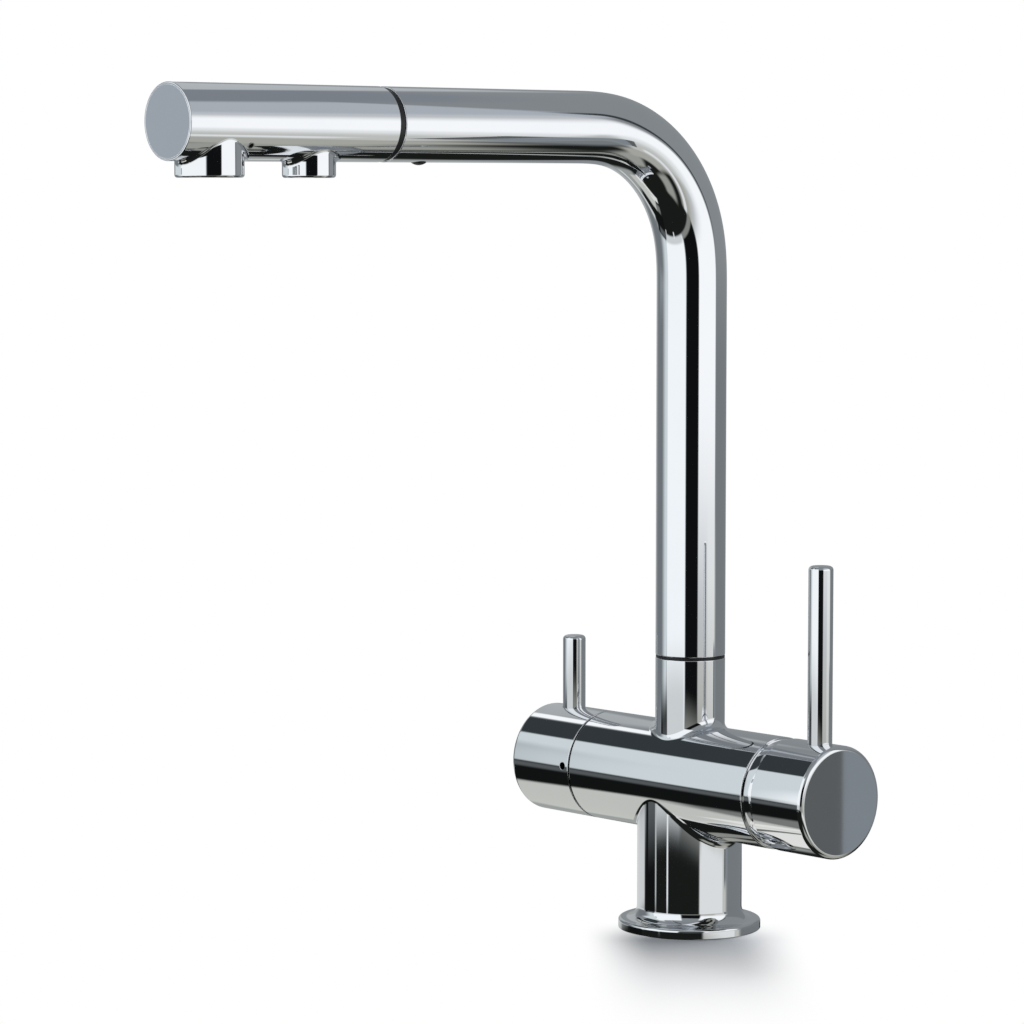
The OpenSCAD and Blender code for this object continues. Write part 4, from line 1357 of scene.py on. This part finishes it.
@dataclass(kw_only=True)
class BodyCasting(OnBarrel):
    """Flange, column, barrel and neck, cast in one, with the collar and the neck's ring."""

    barrel_left: float = -48.1
    barrel_right: float = 51.1
    barrel_pieces: int = 48
    seam_edge: float = 0.4
    bore_edge: float = 0.2
    saddle: float = 4.0
    neck_radius: float = 14.0
    neck_top: float = 109.8
    neck_straight: float = 9.0
    neck_bore: float = 11.5
    neck_floor: float = 78.8
    neck_window: tuple[int, int] = (-40, 40)
    passage_radius: float = 9.3
    column_radius: float = 21.1
    column_straight: float = 8.0
    column_window: tuple[int, int] = (40, 152)
    flange_radius: float = 28.7
    flange_thick: float = 4.0
    flange_edges: tuple[float, float] = (1.2, 0.3)
    foot_fillet: float = 5.0
    foot_steps: int = 12
    gasket_inner: float = 19.98
    gasket_outer: float = 23.02
    gasket_depth: float = 2.02
    ports: int = 6
    port_steps: int = 48
    port_first_deg: float = 30.0
    port_radius: float = 3.4
    port_circle: float = 13.6
    port_depth: float = 22.0
    cartridge_pocket: tuple[float, float] = (17.6, 19.6)
    valve_pocket: tuple[float, float] = (12.2, -22.3)
    collar_ball: float = 21.45
    collar_centre: float = 53.85
    collar_bore: float = 12.2
    collar_land: float = 3.0
    collar_reach: tuple[float, float] = (48.65, 60.0)
    collar_spigot: float = 17.45
    collar_lip: tuple[float, float] = (0.25, 0.4)
    collar_lip_edge: float = 0.15
    collar_steps: int = 24
    ring: FlatRing = FlatRing(11.55, 13.9, 109.8, 110.8, 0.1, 0.25, 5)

    def build(self) -> None:
        """Make the casting, its collar and its ring."""
        settle(self.casting(), Body.BASE, "body_casting", "chrome_plate", POLISHED_CHROME)
        settle(self.collar(), Body.BASE, "mixer_collar", "chrome_plate", POLISHED_CHROME)
        ring = self.ring.build("neck_ring", Spindle(Vector(), UP, RIGHT))
        settle(ring, Body.BASE, "spout_glide_ring", "black_polymer", BLACK_ACETAL)

    def casting(self) -> Piece:
        """The casting as one closed skin.

        Returns:
            The finished object.
        """
        skin = PipeSkin(self.barrel(), FineMesh())
        self.ends(skin)
        neck = Branch(skin.pipe, 0, 0, self.neck_radius, self.saddle)
        column = Branch(skin.pipe, 0, math.pi, self.column_radius, self.saddle)
        upper, lower = skin.band(
            self.barrel_left + self.seam_edge,
            self.barrel_right - self.seam_edge,
            self.barrel_pieces,
            [Window(neck, *self.neck_window), Window(column, *self.column_window)],
        )
        passage = skin.run(upper, self.neck_corners())
        foot = skin.run(lower, self.foot_corners(), self.foot_steps)
        self.underside(skin.mesh, passage, foot)
        return skin.mesh.finish("casting_polished")

    def ends(self, skin: PipeSkin) -> None:
        """Turn the barrel's two end faces and the pockets behind them.

        Args:
            skin: The casting's skin.
        """
        for end, (bore, floor), inward in (
            (self.barrel_right, self.cartridge_pocket, -1),
            (self.barrel_left, self.valve_pocket, 1),
        ):
            corners = [
                (self.radius, end + inward * self.seam_edge, 0),
                (self.radius, end, self.seam_edge),
                (bore, end, self.bore_edge),
                (bore, floor, 0),
                (0, floor, 0),
            ]
            skin.mesh.turn(rounded_outline(corners), skin.pipe)

    def neck_corners(self) -> list[Corner]:
        """The neck's wall, its top, its bore and the passage down through the casting."""
        axis = self.axis_height
        return [
            (self.neck_radius, self.neck_top - axis - self.neck_straight, 0),
            (self.neck_radius, self.neck_top - axis, self.seam_edge),
            (self.neck_bore, self.neck_top - axis, self.bore_edge),
            (self.neck_bore, self.neck_floor - axis, 0),
            (self.passage_radius, self.neck_floor - axis, 0),
            (self.passage_radius, -axis, 0),
        ]

    def foot_corners(self) -> list[Corner]:
        """The column's wall, the foot's fillet, the flange and the gasket's groove."""
        ground = self.axis_height
        top, groove = ground - self.flange_thick, ground - self.gasket_depth
        upper_edge, lower_edge = self.flange_edges
        return [
            (self.column_radius, top - self.foot_fillet - self.column_straight, 0),
            (self.column_radius, top, self.foot_fillet),
            (self.flange_radius, top, upper_edge),
            (self.flange_radius, ground, lower_edge),
            (self.gasket_outer, ground, 0),
            (self.gasket_outer, groove, 0),
            (self.gasket_inner, groove, 0),
            (self.gasket_inner, ground, 0),
        ]

    def underside(self, mesh: FineMesh, passage: list[Vert], foot: list[Vert]) -> None:
        """Fill the underside between the foot, the passage and the threaded ports.

        Args:
            mesh: The casting's mesh.
            passage: The passage's last ring.
            foot: The groove's last ring.
        """
        edges = mesh.ring_edges(passage) + mesh.ring_edges(foot)
        for k in range(self.ports):
            angle = math.radians(self.port_first_deg + 360 / self.ports * k)
            centre = Vector((math.cos(angle), math.sin(angle), 0)) * self.port_circle
            ring = mesh.start_ring(self.port_ring(centre, 0.0))
            edges += mesh.ring_edges(ring)
            mesh.close(mesh.grow(ring, self.port_ring(centre, self.port_depth)))
        bmesh.ops.triangle_fill(mesh.bm, use_beauty=True, edges=edges, normal=(0, 0, -1))

    def port_ring(self, centre: Vector, height: float) -> list[Spot]:
        """The spots round the wall of a port.

        Args:
            centre: The port's centre.
            height: The ring's height.

        Returns:
            The ring's spots.
        """
        spots = []
        for k in range(self.port_steps):
            turn = 2 * math.pi * k / self.port_steps
            way = Vector((math.cos(turn), math.sin(turn), 0))
            spots.append(Spot(centre + way * self.port_radius + Vector((0, 0, height)), -way))
        return spots

    def collar(self) -> Piece:
        """The domed collar that the mixer knob tilts on.

        Returns:
            The finished object.
        """
        back, front = self.collar_reach
        lip_step, lip_depth = self.collar_lip
        edge, land = front - lip_depth, front - self.collar_land
        dome = dome_outline(
            self.collar_centre, self.collar_ball, (self.barrel_right, edge), self.collar_steps
        )
        lip = dome[-1].radius
        behind = [
            (self.collar_bore, land, 0),
            (self.collar_bore, back, 0),
            (self.collar_spigot, back, 0),
            (self.collar_spigot, self.barrel_right, 0),
            (dome[0].radius, self.barrel_right, 0),
        ]
        mouth = [
            (lip, edge, 0),
            (lip - lip_step, front, self.collar_lip_edge),
            (self.collar_bore, front, self.bore_edge),
            (self.collar_bore, land, 0),
        ]
        outline = [*rounded_outline(behind), *dome, *rounded_outline(mouth)]
        return turned_piece("mixer_collar_polished", outline, self.barrel())


@dataclass(frozen=True)
class Station:
    """A place on the spout's centreline, the way out of the bend there, and the way forward."""

    place: Vector
    out: Vector
    forward: Vector


@dataclass
class Spout:
    """The bent spout pipe, the black ring in its mouth and the button under it."""

    radius: float = 14.0
    bore: float = 13.0
    foot: float = 110.85
    bend_radius: float = 55.0
    bend_easing: float = 0.2
    bend_steps: int = 96
    slices_per_step: int = 8
    axis_height: float = 321.1
    mouth: float = -159.8
    edge: float = 0.4
    bore_edge: float = 0.15
    end_straight: float = 3.0
    ring: FlatRing = FlatRing(11.08, 13.6, 159.85, 162.25, 0.15, 0.35, 6)
    button_y: float = -142.4
    button_radius: float = 2.9
    button_drop: float = 1.0
    button_crown: float = 1.0
    button_dome: float = 0.9
    button_shoulder: float = 1.1
    button_edge: float = 0.2
    button_seat: float = 0.35
    button_shank: float = 1.5
    button_depth: float = 2.3
    button_steps: int = 64
    dome_steps: int = 12

    def build(self) -> None:
        """Make the pipe, its ring and its button."""
        settle(self.pipe(), Body.SPOUT, "spout_tube", "chrome_plate", POLISHED_CHROME)
        axis = Spindle(Vector((0, 0, self.axis_height)), FRONT, RIGHT)
        ring = self.ring.build("mouth_ring", axis)
        settle(ring, Body.SPOUT, "dock_ring", "black_polymer", BLACK_ACETAL)
        settle(self.button(), Body.SPOUT, "dock_screw", "black_polymer", BLACK_ACETAL)

    def bend(self) -> list[Station]:
        """The centreline through the bend.

        A drawn tube tightens into its bend and eases out of it, so that a reflection runs on
        without a kink. The bend's middle stays where a plain arc has it.

        Returns:
            The bend's stations, the riser's top and the leg's start among them.
        """
        slices = self.slices_per_step * self.bend_steps
        place, turn = Vector((0, 0, 0)), 0.0
        path = [(place.copy(), turn)]
        for k in range(slices):
            along = (k + 0.5) / slices
            tightness = min(1.0, along / self.bend_easing, (1 - along) / self.bend_easing)
            share = tightness * math.pi / 2 / (1 - self.bend_easing) / slices
            middle = turn + share / 2
            place += Vector((0, -math.sin(middle), math.cos(middle))) / slices
            turn += share
            path.append((place.copy(), turn))
        corner = path[-1][0].z
        depth = (path[slices // 2][0] - Vector((0, 0, corner))).length
        scale = self.bend_radius * (math.sqrt(2) - 1) / depth
        start = Vector((0, 0, self.axis_height - corner * scale))
        return [
            Station(
                start + place * scale,
                Vector((0, math.cos(turn), math.sin(turn))),
                Vector((0, -math.sin(turn), math.cos(turn))),
            )
            for place, turn in path[:: self.slices_per_step]
        ]

    def hoop(self, station: Station, bend: Bend) -> list[Spot]:
        """A ring round the centreline.

        Args:
            station: Where on the centreline.
            bend: The ring's radius, its shift along the way forward, and its normal.

        Returns:
            The ring's spots.
        """
        spots = []
        for k in range(ROUND):
            radial = RIGHT * math.cos(k * STEP) + station.out * math.sin(k * STEP)
            spots.append(
                Spot(
                    station.place + radial * bend.radius + station.forward * bend.height,
                    radial * bend.out + station.forward * bend.up,
                )
            )
        return spots

    def pipe(self) -> Piece:
        """The bent pipe, with rounded edges at both ends and its bore.

        Returns:
            The finished object.
        """
        foot, mouth = (
            rounded_outline(
                [
                    (self.bore, way * self.end_straight, 0),
                    (self.bore, 0, self.bore_edge),
                    (self.radius, 0, self.edge),
                    (self.radius, way * self.end_straight, 0),
                ][::way]
            )
            for way in (1, -1)
        )
        low = Station(Vector((0, 0, self.foot)), Vector((0, 1, 0)), UP)
        far = Station(Vector((0, self.mouth, self.axis_height)), UP, FRONT)
        stops = self.bend()
        outer, inner = Bend(self.radius, 0, 1, 0), Bend(self.bore, 0, -1, 0)
        rings = [self.hoop(low, bend) for bend in foot]
        rings += [self.hoop(station, outer) for station in stops]
        rings += [self.hoop(far, bend) for bend in mouth]
        rings += [self.hoop(station, inner) for station in reversed(stops)]
        rings.append(rings[0])
        mesh = FineMesh()
        verts = mesh.start_ring(rings[0])
        for spots in rings[1:]:
            verts = mesh.grow(verts, spots)
        return mesh.finish("spout_pipe")

    def button(self) -> Piece:
        """The low domed button under the spout.

        Returns:
            The finished object.
        """
        wall = self.axis_height - self.radius
        low, seat, top = wall - self.button_drop, wall + self.button_seat, wall + self.button_depth
        ball = (self.button_radius**2 + self.button_crown**2) / (2 * self.button_crown)
        rim = low + self.button_dome
        dome = dome_outline(low + ball, ball, (low, rim), self.dome_steps)
        corners = [
            (dome[-1].radius, rim, 0),
            (self.button_radius, low + self.button_shoulder, self.button_edge),
            (self.button_radius, seat, 0),
            (self.button_shank, seat, 0),
            (self.button_shank, top, 0),
            (0, top, 0),
        ]
        outline = [*dome, *rounded_outline(corners)]
        spindle = Spindle(Vector((0, self.button_y, 0)), UP, RIGHT)
        return turned_piece("mouth_button", outline, spindle, self.button_steps)


@dataclass
class PullOutHead:
    """The pull-out head: its plated shell with two outlets, its end disc and its hoses."""

    radius: float = 14.0
    axis_height: float = 321.1
    start: float = 162.3
    end: float = 258.2
    bore: float = 12.7
    bore_depth: float = 5.0
    edge: float = 0.4
    fine_edge: float = 0.2
    disc_radius: float = 13.18
    disc_seat: float = 13.2
    disc_seat_edge: float = 0.15
    disc_thick: float = 2.0
    outlet_drop: float = 19.8
    outlet_rounding: float = 2.5
    outlet_straight: float = 2.0
    outlet_edge: float = 1.1
    outlet_bore_edge: float = 0.25
    outlet_border: float = 217.2
    outlet_window: tuple[int, int] = (-44, 44)
    outlet_pieces: int = 24
    # For each outlet, how far along the head it is, its radius and its bore.
    outlets: tuple[tuple[float, float, float], ...] = (
        (194.6, 9.85, 8.45),
        (239.8, 12.5, 11.1),
    )
    pocket_height: float = 10.0
    screw_at: float = 229.7
    screw_drop_deg: float = 37.0
    screw_radius: float = 1.38
    screw_span: tuple[float, float] = (8.7, 14.1)
    screw_edges: tuple[float, float] = (0.1, 0.06)
    screw_steps: int = 48
    socket_radius: float = 0.95
    socket_floor: float = 14.03
    hose_reach: tuple[float, float] = (64.7, 148.25)
    hose_edge: float = 0.3
    hose_steps: int = 64
    hoses: tuple[tuple[str, float, BraidedSleeve], ...] = (
        ("mixed_hose_head", 4.0, MIXED_SLEEVE),
        ("filter_hose_head", 3.25, FILTER_SLEEVE),
    )

    def build(self) -> None:
        """Make the shell, the disc, the core's screw and the hoses."""
        head = Body.HEAD
        settle(self.shell(), head, "head_shell", "chrome_plate", POLISHED_CHROME)
        settle(self.disc(), head, "head_end_cap", "chrome_plate", POLISHED_CHROME)
        screw = self.core_screw()
        settle(screw, head, "head_core_screw", "stainless_steel", TURNED_STEEL, BRASS_BORE_PAINTED_SHADE)
        for node, radius, sleeve in self.hoses:
            hose = self.hose(node, sleeve.centre_x_mm, radius)
            settle(hose, head, node, "hose_sleeve", sleeve)

    def axis(self, x: float = 0.0) -> Pipe:
        """The skin that runs out along the head, or the axis of a hose beside its middle."""
        origin = Vector((x, 0, self.axis_height))
        return Pipe(origin, FRONT, Vector((0, 0, -1)), self.radius)

    def shell(self) -> Piece:
        """The shell with its two outlets.

        Returns:
            The finished object.
        """
        skin = PipeSkin(self.axis(), FineMesh())
        inner, seat = self.start + self.bore_depth, self.end - self.disc_thick
        for corners in (
            [
                (0, inner, 0),
                (self.bore, inner, 0),
                (self.bore, self.start, self.fine_edge),
                (self.radius, self.start, self.edge),
                (self.radius, self.start + self.edge, 0),
            ],
            [
                (self.radius, self.end - self.edge, 0),
                (self.radius, self.end, self.edge),
                (self.disc_seat, self.end, self.disc_seat_edge),
                (self.disc_seat, seat, 0),
                (0, seat, 0),
            ],
        ):
            skin.mesh.turn(rounded_outline(corners), skin.pipe)
        borders = (self.start + self.edge, self.outlet_border, self.end - self.edge)
        drop = self.outlet_drop
        for (reach, radius, bore), low, high in zip(
            self.outlets, borders, borders[1:], strict=False
        ):
            outlet = Branch(skin.pipe, reach, 0, radius, self.outlet_rounding)
            window = Window(outlet, *self.outlet_window)
            (opening,) = skin.band(low, high, self.outlet_pieces, [window])
            corners = [
                (radius, drop - self.outlet_straight, 0),
                (radius, drop, self.outlet_edge),
                (bore, drop, self.outlet_bore_edge),
                (bore, self.pocket_height, 0),
            ]
            skin.mesh.close(skin.run(opening, corners))
        return skin.mesh.finish("head_shell_polished")

    def disc(self) -> Piece:
        """The flat disc in the head's end.

        Returns:
            The finished object.
        """
        seat = self.end - self.disc_thick
        corners = [
            (0, seat, 0),
            (self.disc_radius, seat, 0),
            (self.disc_radius, self.end, self.fine_edge),
            (0, self.end, 0),
        ]
        return turned_piece("head_end_disc", rounded_outline(corners), self.axis())

    def core_screw(self) -> Piece:
        """The small screw that holds the core, with its socket coloured dark as painted shade.

        The shell's skin runs on under it, so its head stands a tenth of a millimetre proud.

        Returns:
            The finished object.
        """
        drop = math.radians(self.screw_drop_deg)
        spindle = Spindle(
            Vector((0, -self.screw_at, self.axis_height)),
            Vector((math.cos(drop), 0, -math.sin(drop))),
            Vector((0, 1, 0)),
        )
        low, top = self.screw_span
        low_edge, top_edge = self.screw_edges
        body = [
            (0, low, 0),
            (self.screw_radius, low, low_edge),
            (self.screw_radius, top, top_edge),
            (self.socket_radius, top, 0),
        ]
        socket = [
            (self.socket_radius, top, 0),
            (self.socket_radius, self.socket_floor, 0),
            (0, self.socket_floor, 0),
        ]
        mesh = FineMesh()
        mesh.turn(rounded_outline(body), spindle, self.screw_steps)
        outside = set(mesh.bm.faces)
        mesh.turn(rounded_outline(socket), spindle, self.screw_steps)
        # The socket's faces take the second finish, nearly black: painted shade.
        for face in set(mesh.bm.faces) - outside:
            face.material_index = 1
        return mesh.finish("head_core_screw_turned")

    def hose(self, node: str, x: float, radius: float) -> Piece:
        """One hose of the head.

        Args:
            node: The CAD node that it stands for.
            x: Its centre across the head.
            radius: Its radius.

        Returns:
            The finished object.
        """
        near, far = self.hose_reach
        corners = [
            (0, near, 0),
            (radius, near, self.hose_edge),
            (radius, far, self.hose_edge),
            (0, far, 0),
        ]
        outline = rounded_outline(corners)
        return turned_piece(f"{node}_sleeve", outline, self.axis(x), self.hose_steps)


@dataclass(kw_only=True)
class Lever(OnBarrel):
    """What both levers share: a plated knob about the barrel's axis, and a rod that it holds."""

    body: Body
    knob_node: str
    rod_node: str
    rod_x: float
    rod_radius: float
    rod_top: float
    knob_finishes: tuple[Finish, ...] = (POLISHED_CHROME,)
    edge: float = 2.0
    edge_steps: int = 16
    knob_pieces: int = 24
    hole_edge: float = 0.2
    hole_straight: float = 4.0
    hole_floor_rim: float = 1.0
    # The first and last step, the rings and the rolls of the window round the hole.
    hole_window: tuple[int, int, int, int] = (-18, 18, 16, 6)
    rod_depth: float = 9.5
    rod_gap: float = 0.03
    rod_lift: float = 0.05
    rod_foot_edge: float = 0.4
    rod_steps: int = 96
    tip_edge: float = 1.6
    tip_steps: int = 12

    def build(self) -> None:
        """Make the knob and the rod."""
        settle(self.knob(), self.body, self.knob_node, "chrome_plate", *self.knob_finishes)
        settle(self.rod(), self.body, self.rod_node, "chrome_plate", POLISHED_CHROME)

    def knob(self) -> Piece:
        """The knob, which each lever shapes in its own way."""
        raise NotImplementedError

    def rod_hole(self, skin: PipeSkin, low: float, high: float) -> None:
        """Lay a band of the knob's skin with the blind hole that holds the rod.

        Args:
            skin: The knob's skin.
            low: Where the band starts.
            high: Where it ends.
        """
        bore, floor = self.rod_radius + self.rod_gap, self.radius - self.rod_depth
        hole = Branch(skin.pipe, self.rod_x, 0, bore, self.hole_edge, True)
        window = Window(hole, *self.hole_window)
        (opening,) = skin.band(low, high, self.knob_pieces, [window])
        corners = [
            (bore, floor + self.hole_straight, 0),
            (bore, floor, 0),
            (bore - self.hole_floor_rim, floor, 0),
        ]
        skin.mesh.close(skin.run(opening, corners))

    def rod(self) -> Piece:
        """The rod, with a softly rounded tip.

        Returns:
            The finished object.
        """
        low = self.axis_height + self.radius - self.rod_depth + self.rod_lift
        corners = [
            (0, low, 0),
            (self.rod_radius, low, self.rod_foot_edge),
            (self.rod_radius, self.rod_top, self.tip_edge),
            (0, self.rod_top, 0),
        ]
        outline = rounded_outline(corners, self.tip_steps)
        spindle = Spindle(Vector((self.rod_x, 0, 0)), UP, RIGHT)
        return turned_piece(f"{self.rod_node}_polished", outline, spindle, self.rod_steps)


@dataclass(kw_only=True)
class MixerLever(Lever):
    """The right-hand knob, hollow over the collar, with the long rod."""

    body: Body = Body.MIXER_LEVER
    knob_node: str = "mixer_knob"
    rod_node: str = "mixer_rod"
    rod_x: float = 72.2
    rod_radius: float = 4.85
    rod_top: float = 151.9
    rim: float = 56.6
    end: float = 83.6
    rim_bore: float = 21.6
    rim_edges: tuple[float, float] = (0.15, 0.2)
    cavity_floor: float = 65.66
    cavity_edge: float = 0.5

    def knob(self) -> Piece:
        """The knob, closed at its end and open towards the collar.

        Returns:
            The finished object.
        """
        skin = PipeSkin(self.barrel(), FineMesh())
        inner_edge, outer_edge = self.rim_edges
        low, high = self.rim + outer_edge, self.end - self.edge
        end = [(self.radius, high, 0), (self.radius, self.end, self.edge), (0, self.end, 0)]
        skin.mesh.turn(rounded_outline(end, self.edge_steps), skin.pipe)
        cavity = [
            (0, self.cavity_floor, 0),
            (self.rim_bore, self.cavity_floor, self.cavity_edge),
            (self.rim_bore, self.rim, inner_edge),
            (self.radius, self.rim, outer_edge),
            (self.radius, low, 0),
        ]
        skin.mesh.turn(rounded_outline(cavity), skin.pipe)
        self.rod_hole(skin, low, high)
        return skin.mesh.finish("mixer_knob_polished")


@dataclass(kw_only=True)
class FilterLever(Lever):
    """The left-hand knob with the short rod and the hole of its grub screw."""

    body: Body = Body.FILTER_LEVER
    knob_node: str = "filter_knob"
    rod_node: str = "filter_rod"
    # The second finish, nearly black, is painted shade in the grub screw's hole.
    knob_finishes: tuple[Finish, ...] = (POLISHED_CHROME, BRASS_BORE_PAINTED_SHADE)
    rod_x: float = -69.0
    rod_radius: float = 4.7
    rod_top: float = 112.5
    rim: float = -48.9
    end: float = -83.5
    seam_edge: float = 0.4
    border: float = -56.0
    grub_x: float = -52.1
    grub_angle_deg: float = 87.0
    grub_radius: float = 1.52
    grub_edge: float = 0.15
    grub_straight: float = 0.6
    grub_depth: float = 13.0
    grub_floor_rim: float = 0.4
    # As hole_window, for the grub screw's hole.
    grub_window: tuple[int, int, int, int] = (38, 55, 10, 5)
    grub_pieces: int = 10

    def knob(self) -> Piece:
        """The knob, with its rod hole and its grub screw's hole.

        Returns:
            The finished object.
        """
        skin = PipeSkin(self.barrel(), FineMesh())
        low, border, high = self.end + self.edge, self.border, self.rim - self.seam_edge
        for corners in (
            [(self.radius, low, 0), (self.radius, self.end, self.edge), (0, self.end, 0)],
            [(0, self.rim, 0), (self.radius, self.rim, self.seam_edge), (self.radius, high, 0)],
        ):
            skin.mesh.turn(rounded_outline(corners, self.edge_steps), skin.pipe)
        self.rod_hole(skin, low, border)
        bore, floor = self.grub_radius, self.radius - self.grub_depth
        angle = math.radians(self.grub_angle_deg)
        grub = Branch(skin.pipe, self.grub_x, angle, bore, self.grub_edge, True)
        window = Window(grub, *self.grub_window)
        (opening,) = skin.band(border, high, self.grub_pieces, [window])
        corners = [
            (bore, self.radius - self.grub_straight, 0),
            (bore, floor, 0),
            (bore - self.grub_floor_rim, floor, 0),
        ]
        # The grub screw's hole takes the second finish: painted shade.
        skin.mesh.close(skin.run(opening, corners, slot=1), slot=1)
        return skin.mesh.finish("filter_knob_polished")


def main() -> None:
    """Build the studio and the object, one sub-assembly after the other."""
    logging.basicConfig(level=logging.INFO, format="%(name)s: %(message)s")
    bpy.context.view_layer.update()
    Studio().build()
    carry_over()
    for assembly in (BodyCasting(), Spout(), PullOutHead(), MixerLever(), FilterLever()):
        assembly.build()


if __name__ == "__main__":
    main()
